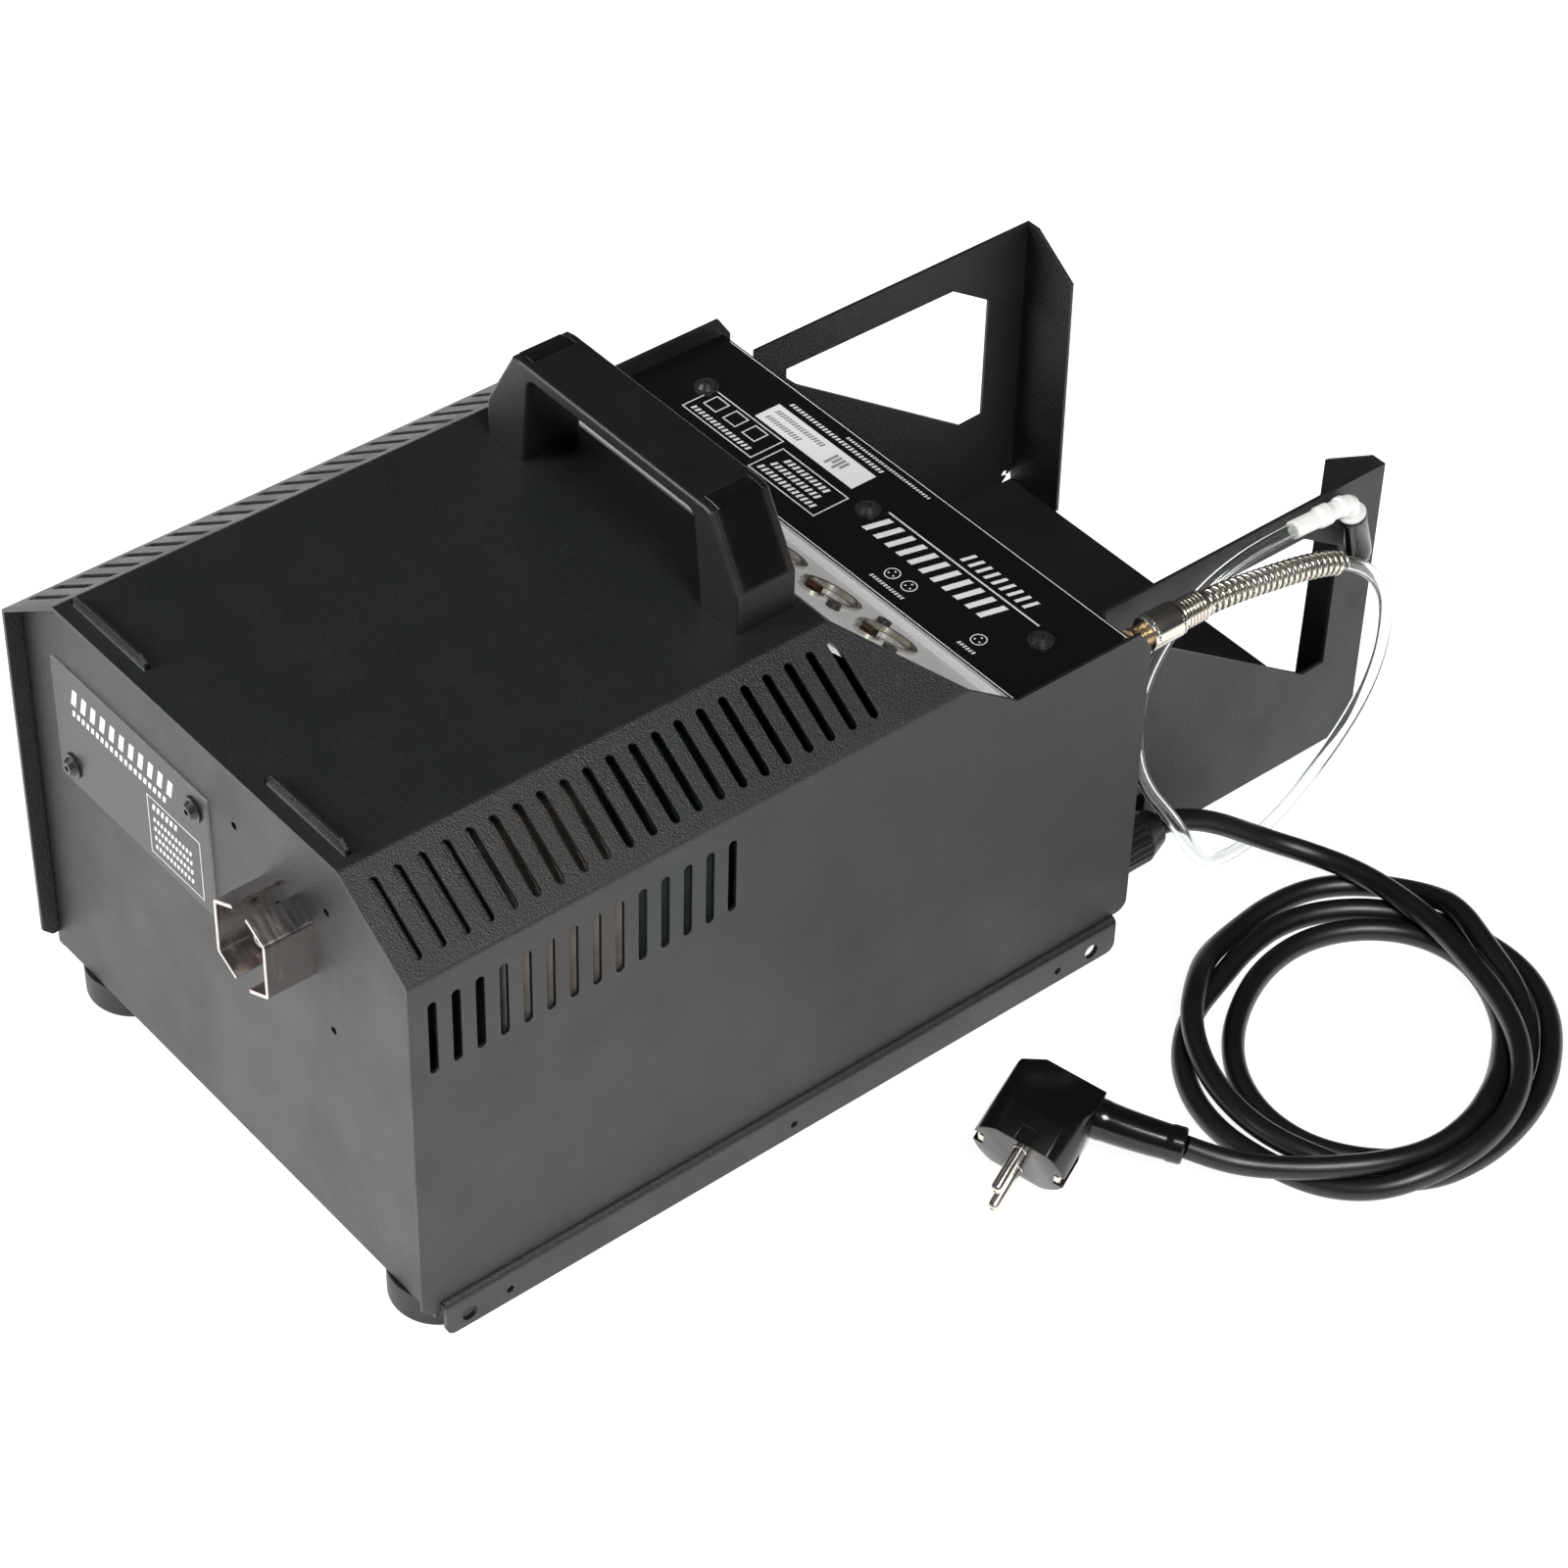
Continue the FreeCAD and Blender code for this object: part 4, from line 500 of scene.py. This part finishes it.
def make_sky(scene, strength):
    """Dark studio with a few broad soft sources, each a direction, a strength and a tightness."""
    world = bpy.data.worlds.new("studio")
    scene.world = world
    world.use_nodes = True
    nodes = world.node_tree.nodes
    links = world.node_tree.links
    direction = nodes.new("ShaderNodeTexCoord").outputs["Generated"]
    total = None
    for aim, power, tightness in SKY_LOBES:
        dot = nodes.new("ShaderNodeVectorMath")
        dot.operation = "DOT_PRODUCT"
        links.new(direction, dot.inputs[0])
        dot.inputs[1].default_value = Vector(aim).normalized()
        clipped = nodes.new("ShaderNodeMath")
        clipped.operation = "MAXIMUM"
        links.new(dot.outputs["Value"], clipped.inputs[0])
        clipped.inputs[1].default_value = 0.0
        shaped = nodes.new("ShaderNodeMath")
        shaped.operation = "POWER"
        links.new(clipped.outputs[0], shaped.inputs[0])
        shaped.inputs[1].default_value = tightness
        add = nodes.new("ShaderNodeMath")
        add.operation = "MULTIPLY_ADD"
        links.new(shaped.outputs[0], add.inputs[0])
        add.inputs[1].default_value = power * strength
        add.inputs[2].default_value = SKY_BASE
        if total:
            links.new(total, add.inputs[2])
        total = add.outputs[0]
    links.new(total, nodes["Background"].inputs["Strength"])


class FOG_OT_stage(bpy.types.Operator):
    """Floor, soft studio light and the camera"""
    bl_idname = "fog.stage"
    bl_label = "Stage"

    def execute(self, context):
        scene = context.scene
        scene.view_settings.view_transform = "Standard"
        strength = scene.fog_machine.key_strength
        bm = bmesh.new()
        bmesh.ops.create_circle(bm, cap_ends=True, radius=9.0, segments=96)
        mesh = bpy.data.meshes.new("studio_floor")
        bm.to_mesh(mesh)
        bm.free()
        floor = bpy.data.objects.new("studio_floor", mesh)
        scene.collection.objects.link(floor)
        paper = Finish("studio paper", (0.5, 0.5, 0.5), 0.9)
        paper.set("Specular IOR Level", 0.0)
        paper.set("Emission Color", (1.0, 1.0, 1.0, 1.0))
        paper.set("Emission Strength", 0.93)
        mesh.materials.append(paper.material)
        make_sky(scene, strength)
        add_area_light("front_left_softbox", (-0.9, -1.7, 1.1), (0.0, -0.2, 0.1), 1.0, 48 * strength, 0.9)
        add_area_light("right_softbox", (1.5, -0.3, 1.9), (0.1, 0.0, 0.1), 0.8, 52 * strength, 0.8)

        camera = bpy.data.cameras.new("camera")
        camera.sensor_width = 36.0
        camera.lens = CAMERA_LENS
        camera.clip_start = 0.05
        right = Vector(CAMERA_RIGHT).normalized()
        back = Vector(CAMERA_BACK)
        back = (back - back.dot(right) * right).normalized()
        up = back.cross(right)
        obj = bpy.data.objects.new("camera", camera)
        turn = Matrix((right, up, back)).transposed().to_4x4()
        obj.matrix_world = Matrix.Translation(mm(*CAMERA_AT)) @ turn
        scene.collection.objects.link(obj)
        scene.camera = obj
        return {"FINISHED"}


# ------------------------------------------------------------ mains lead and plug
PLUG_AT = (195.2, -14.0, 18.8)
PLUG_U = (0.907, 0.373, -0.195)
PLUG_W = (-0.295, 0.894, 0.338)
PLUG_R = 19.6
PLUG_H = 38.0
PIN_R = 2.4
PIN_LENGTH = 19.0
PIN_HALF_GAP = 9.5
FLAT_HALF = 16.5
FLAT_TOP = 13.5
RIDGE_HALF = 5.5


def plug_frame():
    return place(PLUG_AT, PLUG_U, PLUG_W)


def make_plug_head(finish):
    """Angled plug: a round face that narrows into flats and a grip ridge."""
    bm = bmesh.new()
    bmesh.ops.create_cone(bm, cap_ends=True, segments=72, radius1=PLUG_R, radius2=PLUG_R - 0.5, depth=PLUG_H,
                          matrix=Matrix.Translation((0, 0, PLUG_H / 2)))
    for side in (-1, 1):
        cut_by(bm, (0, side * FLAT_HALF, 5), (0, side * 1.0, 0))
        cut_by(bm, (0, side * FLAT_HALF, FLAT_TOP), (0, side * (PLUG_H - FLAT_TOP), FLAT_HALF - RIDGE_HALF))
    cut_by(bm, (-19.6, 0, 31), (-1.0, 0, 1.45))
    cut_by(bm, (16.0, 0, PLUG_H), (1.0, 0, 0.12))
    round_corners(bm, 0.9, 24, 3)
    for side in (-1, 1):
        groove = bmesh.new()
        add_box(groove, (-3.0, side * FLAT_HALF - 0.35, -1), (3.0, side * FLAT_HALF + 0.35, 7.0))
        bm = carve(bm, groove)
        slot = bmesh.new()
        add_box(slot, (side * 17.6 - 2.6, -4.4, -1), (side * 17.6 + 2.6, 4.4, 11.5))
        bm = carve(bm, slot)
        well = bmesh.new()
        turn_profile(well, [(0, -1), (3.1, -1), (3.1, 1.0), (0, 1.0)], 32, (0, side * PIN_HALF_GAP))
        bmesh.ops.remove_doubles(well, verts=well.verts, dist=WELD)
        bm = carve(bm, well)
    return finish_mesh(bm, "plug_head", finish["gloss plastic"], plug_frame())


def make_plug_pins(finish):
    bm = bmesh.new()
    tip = [(0, 0.9), (0.6, 0.5), (0.8, 0.0), (1.3, 0.05), (1.9, 0.45), (2.25, 1.2), (PIN_R, 2.2)]
    profile = [(radius, height - PIN_LENGTH) for radius, height in tip]
    profile += [(PIN_R, -0.4), (PIN_R + 0.35, -0.3), (PIN_R + 0.35, 1.0), (0, 1.0)]
    for side in (-1, 1):
        turn_profile(bm, profile, 40, (0, side * PIN_HALF_GAP))
    return finish_mesh(bm, "plug_contacts", finish["nickel"], plug_frame())


def make_earth_clips(finish):
    bm = bmesh.new()
    for side in (-1, 1):
        x = side * 17.0
        add_box(bm, (x - 0.5, -3.6, 0.4), (x + 0.5, 3.6, 11.3))
        add_box(bm, (x + side * 0.4 - 0.5, -2.0, 2.5), (x + side * 0.9 + 0.5, 2.0, 9.5))
        add_box(bm, (min(x, x - side * 6.0), -2.6, 0.05), (max(x, x - side * 6.0), 2.6, 0.35))
    round_corners(bm, 0.15, 40, 2)
    return finish_mesh(bm, "plug_earth_clips", finish["nickel"], plug_frame())


def sweep(bm, points, radii, steps=40):
    """A closed tube of changing radius along a line of points."""
    rings = []
    side = Vector((0, 0, 1)).cross(points[1] - points[0]).normalized()
    for index, point in enumerate(points):
        before = points[max(index - 1, 0)]
        after = points[min(index + 1, len(points) - 1)]
        along = (after - before).normalized()
        side = (side - side.dot(along) * along).normalized()
        turn = Matrix((side, along.cross(side), along)).transposed().to_4x4()
        made = bmesh.ops.create_circle(bm, segments=steps, radius=radii[index], cap_ends=False,
                                       matrix=Matrix.Translation(point) @ turn)
        rings.append(made["verts"])
    for a, b in zip(rings, rings[1:]):
        edges = [e for ring in (a, b) for e in {e for v in ring for e in v.link_edges
                                                if e.other_vert(v) in ring}]
        bmesh.ops.bridge_loops(bm, edges=list(set(edges)))
    for ring in (rings[0], rings[-1]):
        edges = {e for v in ring for e in v.link_edges if e.other_vert(v) in ring}
        bmesh.ops.contextual_create(bm, geom=list(edges))
    bmesh.ops.recalc_face_normals(bm, faces=bm.faces)


def make_plug_boot(finish):
    """Moulded sleeve between plug and lead, with a stepped collar at its end."""
    matrix = plug_frame()
    start = (matrix @ Vector((11, 0, 28.4))) / MM
    bend = (matrix @ Vector((32, 0, 31.0))) / MM
    end = Vector(MAINS_ROUTE[-1])
    points = path_points([start, bend, end])
    count = len(points)
    profile = [(0.0, 8.2), (0.2, 8.1), (0.24, 7.8), (0.84, 6.9), (0.855, 7.3), (0.98, 7.2), (1.0, 6.6)]
    radii = []
    for index in range(count):
        t = index / (count - 1)
        for (t0, r0), (t1, r1) in zip(profile, profile[1:]):
            if t0 <= t <= t1:
                radii.append(r0 + (r1 - r0) * (t - t0) / (t1 - t0))
                break
    bm = bmesh.new()
    sweep(bm, points, radii)
    return finish_mesh(bm, "plug_boot", finish["gloss plastic"])


class FOG_OT_mains_lead(bpy.types.Operator):
    """Mains lead with its loose turns, its moulded plug and the earth clips"""
    bl_idname = "fog.mains_lead"
    bl_label = "Mains lead"

    def execute(self, context):
        finish = FINISHES
        diameter = context.scene.fog_machine.lead_diameter
        lead = cord_curve("mains_lead_cord", MAINS_ROUTE, diameter / MM, finish["cord rubber"])
        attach(lead, HOUSING)
        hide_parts("mains_lead", "mains_coil", "mains_tail")
        head = make_plug_head(finish)
        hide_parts("plug_body")
        pins = make_plug_pins(finish)
        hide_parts("plug_pins")
        clips = make_earth_clips(finish)
        boot = make_plug_boot(finish)
        return {"FINISHED"}


# ------------------------------------------------------------ fluid hose, its guard and end
NUT_AT = (117.5, 107.5, 157.5)
FERRULE_AT = (117.5, 124.0, 157.5)
SPRING_SPAN_Y = (135.5, 211.5)
SPRING_LOWEST = 139
SPRING_RADIUS = 4.4
WIRE_RADIUS = 0.85
STEPS_PER_TURN = 14
ELBOW_AT = (110.5, 221.5, 160.5)
ELBOW_DOWN = (0.0, 0.30, -0.95)
CAP_START = 6.3


def make_hose_spring(finish, turns):
    """Round wire wound over the hose, following its droop."""
    points = path_points(HOSE_ROUTE[:8])
    line = [p for p in points if SPRING_SPAN_Y[0] < p.y < SPRING_SPAN_Y[1] and p.z > SPRING_LOWEST]
    lengths = [0.0]
    for a, b in zip(line, line[1:]):
        lengths.append(lengths[-1] + (b - a).length)
    steps = turns * STEPS_PER_TURN
    wire = []
    index = 0
    for k in range(steps + 1):
        distance = lengths[-1] * k / steps
        while index < len(line) - 2 and lengths[index + 1] < distance:
            index += 1
        span = lengths[index + 1] - lengths[index]
        centre = line[index].lerp(line[index + 1], (distance - lengths[index]) / span)
        along = (line[index + 1] - line[index]).normalized()
        side = Vector((1, 0, 0))
        side = (side - side.dot(along) * along).normalized()
        other = along.cross(side)
        angle = 2 * math.pi * k / STEPS_PER_TURN
        wire.append(centre + side * SPRING_RADIUS * math.cos(angle) + other * SPRING_RADIUS * math.sin(angle))
    curve = bpy.data.curves.new("hose_spring", "CURVE")
    curve.dimensions = "3D"
    spline = curve.splines.new("POLY")
    spline.points.add(len(wire) - 1)
    for point, at in zip(spline.points, wire):
        point.co = (*(at * MM), 1)
    curve.bevel_depth = WIRE_RADIUS * MM
    curve.bevel_resolution = 2
    curve.use_fill_caps = True
    obj = bpy.data.objects.new("hose_spring", curve)
    bpy.context.scene.collection.objects.link(obj)
    curve.materials.append(finish["nickel"])
    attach(obj, HOUSING)
    return obj


def make_hose_ferrule(finish):
    bm = bmesh.new()
    profile = [(3.5, 0), (5.9, 0)]
    z = 0.4
    while z < 12:
        profile += [(6.1, z), (6.1, z + 0.9), (5.4, z + 1.1), (5.4, z + 1.5)]
        z += 1.7
    profile += [(5.2, 13.2), (3.5, 13.2)]
    turn_profile(bm, profile, 40)
    return finish_mesh(bm, "hose_ferrule", finish["nickel"], place(FERRULE_AT, (1, 0, 0), (0, 1, 0)),
                       sharp=math.radians(50))


def make_knurled_nut(finish):
    """Coupling nut with a crossed knurl of small pyramids."""
    bm = bmesh.new()
    around, rows = 34, 8
    length = 16.0
    turn_profile(bm, [(4.88, 0.0), (6.6, 0.0), (7.0, 0.5), (7.0, 1.2)], around * 2)
    turn_profile(bm, [(7.0, 14.8), (7.0, 15.5), (6.6, length), (3.35, length)], around * 2)
    grid = []
    for row in range(rows * 2 + 1):
        z = 1.2 + 13.6 * row / (rows * 2)
        ring = []
        for k in range(around * 2):
            proud = 0.38 if (row + k) % 2 == 0 and 0 < row < rows * 2 else 0.0
            angle = math.pi * k / around
            radius = 6.85 + proud
            ring.append(bm.verts.new((radius * math.cos(angle), radius * math.sin(angle), z)))
        grid.append(ring)
    for low, high in zip(grid, grid[1:]):
        for k in range(around * 2):
            n = (k + 1) % (around * 2)
            bm.faces.new((low[k], low[n], high[n], high[k]))
    bore = [(4.88, 0.0), (4.88, 8.8), (3.35, 8.8), (3.35, length)]
    turn_profile(bm, bore, around * 2)
    return finish_mesh(bm, "knurled_nut", finish["nickel"], place(NUT_AT, (1, 0, 0), (0, 1, 0)),
                       body="hose_nut", sharp=math.radians(20))


def make_elbow(finish):
    corner = Vector(ELBOW_AT)
    down = Vector(ELBOW_DOWN).normalized()
    start = Vector(HOSE_ROUTE[-1])
    inward = (corner - start).normalized()
    points = path_points([start - inward * 5, corner - inward * 6, corner, corner + down * 3.5,
                          corner + down * CAP_START])
    total = len(points)
    radii = []
    for index in range(total):
        t = index / (total - 1)
        r = 3.7
        if 0.10 < t < 0.16 or 0.24 < t < 0.30:
            r = 4.4
        if t > 0.95:
            r = 5.7
        radii.append(r)
    bm = bmesh.new()
    sweep(bm, points, radii, 36)
    return finish_mesh(bm, "elbow_fitting", finish["white plastic"],
                       sharp=math.radians(40))


def make_cap(finish):
    down = Vector(ELBOW_DOWN).normalized()
    at = Vector(ELBOW_AT) + down * CAP_START
    bm = bmesh.new()
    profile = [(0, 0), (5.5, 0), (5.9, 0.5), (5.9, 2.0), (5.5, 2.6), (5.4, 20.0), (5.1, 24.0), (4.2, 26.4),
               (2.6, 27.7), (0, 28.0)]
    turn_profile(bm, profile, 40)
    return finish_mesh(bm, "hose_end_cap", finish["gloss plastic"], place(at, (1, 0, 0), down),
                       sharp=math.radians(50))


class FOG_OT_fluid_hose(bpy.types.Operator):
    """Clear hose with its knurled nut, ribbed ferrule, spring guard, elbow and cap"""
    bl_idname = "fog.fluid_hose"
    bl_label = "Fluid hose"

    def execute(self, context):
        finish = FINISHES
        settings = context.scene.fog_machine
        diameter = settings.hose_diameter
        hose = cord_curve("clear_hose", HOSE_ROUTE, diameter / MM, finish["clear hose"])
        wall = hose.modifiers.new("wall", "SOLIDIFY")
        wall.thickness = 1.3 * MM
        wall.offset = -1
        hose.data.use_fill_caps = False
        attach(hose, HOUSING)
        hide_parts("fluid_hose")
        spring = make_hose_spring(finish, settings.spring_turns)
        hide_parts("hose_spring_guard")
        ferrule = make_hose_ferrule(finish)
        nut = make_knurled_nut(finish)
        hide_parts("coupling_nut")
        elbow = make_elbow(finish)
        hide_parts("hose_elbow")
        cap = make_cap(finish)
        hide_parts("hose_cap")
        return {"FINISHED"}


# ------------------------------------------------------------ printed marks
INK = 0.06
CONTROL_FACE_Z = 160.3
NAME_FACE_Y = -228


def add_bar(bm, x0, y0, x1, y1, level=0.0):
    add_box(bm, (x0, y0, level), (x1, y1, level + INK))


def add_frame(bm, x0, y0, x1, y1, line=0.6):
    add_bar(bm, x0, y0, x1, y0 + line)
    add_bar(bm, x0, y1 - line, x1, y1)
    add_bar(bm, x0, y0 + line, x0 + line, y1 - line)
    add_bar(bm, x1 - line, y0 + line, x1, y1 - line)


def add_dashes(bm, x0, x1, y0, y1, pitch, fill=0.55):
    """A row of plain slanted blocks."""
    count = int((x1 - x0) / pitch)
    lean = (y1 - y0) * 0.25
    for k in range(count):
        a = x0 + k * pitch
        b = a + pitch * fill
        add_prism(bm, [(a, y0, 0), (b, y0, 0), (b + lean, y1, 0), (a + lean, y1, 0)], INK)


def add_socket_mark(bm, x, y, radius=3.3):
    inner = radius - 0.5
    turn_profile(bm, [(inner, 0), (radius, 0), (radius, INK), (inner, INK), (inner, 0)], 32, (x, y))
    for angle in (90, 210, 330):
        dx = 1.5 * math.cos(math.radians(angle))
        dy = 1.5 * math.sin(math.radians(angle))
        bmesh.ops.create_cone(bm, cap_ends=True, segments=12, radius1=0.45, radius2=0.45, depth=INK,
                              matrix=Matrix.Translation((x + dx, y + dy, INK / 2)))


def control_face(lift=0.0):
    return place((0, 0, CONTROL_FACE_Z + lift), (1, 0, 0), (0, 0, 1))


def print_control_plate(finish):
    """Frames, blocks, rules and ring symbols on the upper plate."""
    bm = bmesh.new()
    add_frame(bm, -96, 57, -53, 74)
    add_dashes(bm, -93, -56, 59, 61.5, 2.4)
    for k in range(3):
        add_frame(bm, -92 + 12 * k, 64.5, -84 + 12 * k, 72)
    add_frame(bm, -50, 53, -10, 71)
    for k in range(3):
        add_dashes(bm, -47.5 + 2 * k, -13 - 2 * k, 55.5 + 5 * k, 58.5 + 5 * k, 2.6)
    add_dashes(bm, -70, -14, 90.5, 92.5, 2.0)
    add_dashes(bm, -40, 10, 94.5, 95.8, 1.6)
    add_dashes(bm, 6, 84, 63.5, 75.0, 6.6, 0.45)
    add_bar(bm, 6, 77.0, 92, 77.8)
    add_dashes(bm, 44, 84, 80.0, 86.5, 4.4, 0.4)
    add_bar(bm, -117, 42.2, 117, 42.7)
    add_bar(bm, -117, 98.4, 117, 98.8)
    for x, y in ((34.9, 54.5), (44.5, 54.5), (84.1, 54.5)):
        add_socket_mark(bm, x, y)
    add_dashes(bm, 30, 50, 47.0, 48.6, 1.6)
    add_dashes(bm, 80, 90, 47.0, 48.6, 1.6)
    finish_mesh(bm, "control_marks", finish["print white"], control_face())


def print_rating_label(finish):
    """A pale label with rows of grey blocks on it."""
    bm = bmesh.new()
    add_bar(bm, -73, 75.5, -14, 88.0)
    finish_mesh(bm, "rating_label", finish["print white"], control_face())
    bm = bmesh.new()
    add_dashes(bm, -70, -48, 78, 80.5, 1.7)
    add_dashes(bm, -70, -40, 83, 85.5, 1.7)
    for k in range(4):
        add_bar(bm, -34 + 2.2 * k, 78 + (k % 2) * 2, -32.6 + 2.2 * k, 85.0)
    finish_mesh(bm, "rating_label_marks", finish["print grey"], control_face(INK))


def print_name_plate(finish):
    """Rows of blocks and one frame on the front plate."""
    bm = bmesh.new()
    add_dashes(bm, -92, -18, 159.5, 167.5, 6.2, 0.5)
    add_dashes(bm, -92, -30, 154.0, 157.0, 3.1, 0.6)
    add_frame(bm, -44, 122, -10, 150, 0.5)
    add_dashes(bm, -41, -22, 144.5, 147.5, 2.8, 0.6)
    for k in range(4):
        add_dashes(bm, -41, -14, 125.5 + 4.4 * k, 127.7 + 4.4 * k, 2.3, 0.6)
    front = place((0, NAME_FACE_Y, 0), (1, 0, 0), (0, -1, 0))
    finish_mesh(bm, "name_plate_marks", finish["print white"], front)


class FOG_OT_printed_marks(bpy.types.Operator):
    """Plain printed blocks, frames and symbols on the two dark plates"""
    bl_idname = "fog.printed_marks"
    bl_label = "Printed marks"

    def execute(self, context):
        print_control_plate(FINISHES)
        print_rating_label(FINISHES)
        print_name_plate(FINISHES)
        return {"FINISHED"}


# ------------------------------------------------------------ finishes of the carried-over pieces
NODE_FINISH = {
    "housing paint": ["top_cover", "front_panel", "base_plate"],
    "tray paint": ["tray_floor", "tray_side_left", "tray_side_right", "rear_panel"],
    "name plate": ["name_plate"],
    "control plate": ["control_plate"],
    "light panel": ["connector_panel"],
    "stainless": ["nozzle_guard_left", "nozzle_guard_right", "pump_piston", "pump_spring", "outlet_line",
                  "hose_spring_guard", "nozzle"],
    "socket 1": ["signal_socket_1"],
    "socket 2": ["signal_socket_2"],
    "socket 3": ["signal_socket_3"],
    "nickel": ["coupling_nut", "plug_pins"],
    "brass": ["coupling_nipple", "pump_body"],
    "zinc sheet": ["heater_brackets", "thermostat", "pump_bracket", "heating_elements", "pump_coil"],
    "cast aluminium": ["heater_core", "board_standoffs"],
    "blacked screw": ["panel_screws", "chassis_screws", "handle_screws", "socket_screws"],
    "handle plastic": ["handle"],
    "gloss plastic": ["handle_cap_left", "handle_cap_right", "plug_body", "hose_cap", "menu_button_1",
                      "menu_button_2", "menu_button_3", "menu_button_4"],
    "gland plastic": ["gland_body", "gland_nut"],
    "foot rubber": ["rubber_feet", "pump_mounts", "inlet_line"],
    "cord rubber": ["mains_lead", "mains_coil", "mains_tail"],
    "white plastic": ["hose_elbow"],
    "latch bronze": ["socket_latch_1", "socket_latch_2", "socket_latch_3"],
    "board green": ["control_board"],
    "display glass": ["display_window"],
    "insulation wool": ["heater_insulation"],
    "clear hose": ["fluid_hose"],
}


class FOG_OT_finishes(bpy.types.Operator):
    """Give every carried-over piece its finish"""
    bl_idname = "fog.finishes"
    bl_label = "Finishes"

    def execute(self, context):
        for label, nodes in NODE_FINISH.items():
            for node in nodes:
                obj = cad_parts[node]
                if not obj.material_slots:
                    obj.data.materials.append(None)
                for holder in obj.material_slots:
                    holder.material = FINISHES[label]
        return {"FINISHED"}


# ------------------------------------------------------------ panel and registration
class FOG_PT_panel(bpy.types.Panel):
    """Lists the pieces of the fog machine"""
    bl_idname = "FOG_PT_panel"
    bl_label = "Fog machine"
    bl_space_type = "VIEW_3D"
    bl_region_type = "UI"
    bl_category = "Fog machine"

    def draw(self, context):
        layout = self.layout
        settings = context.scene.fog_machine
        for name in ("housing_colour", "lead_diameter", "hose_diameter", "key_strength", "spring_turns"):
            layout.prop(settings, name)
        for operator in OPERATORS:
            layout.operator(operator.bl_idname)


OPERATORS = (FOG_OT_stage, FOG_OT_mains_lead, FOG_OT_fluid_hose, FOG_OT_printed_marks, FOG_OT_finishes)
CLASSES = (FogMachineSettings, *OPERATORS, FOG_PT_panel)


def register():
    for cls in CLASSES:
        bpy.utils.register_class(cls)
    bpy.types.Scene.fog_machine = PointerProperty(type=FogMachineSettings)


def unregister():
    del bpy.types.Scene.fog_machine
    for cls in reversed(CLASSES):
        bpy.utils.unregister_class(cls)


def main():
    register()
    FINISHES.update(make_finishes())
    bpy.ops.fog.stage()
    bpy.ops.fog.mains_lead()
    bpy.ops.fog.fluid_hose()
    bpy.ops.fog.printed_marks()
    bpy.ops.fog.finishes()


if __name__ == "__main__":
    main()
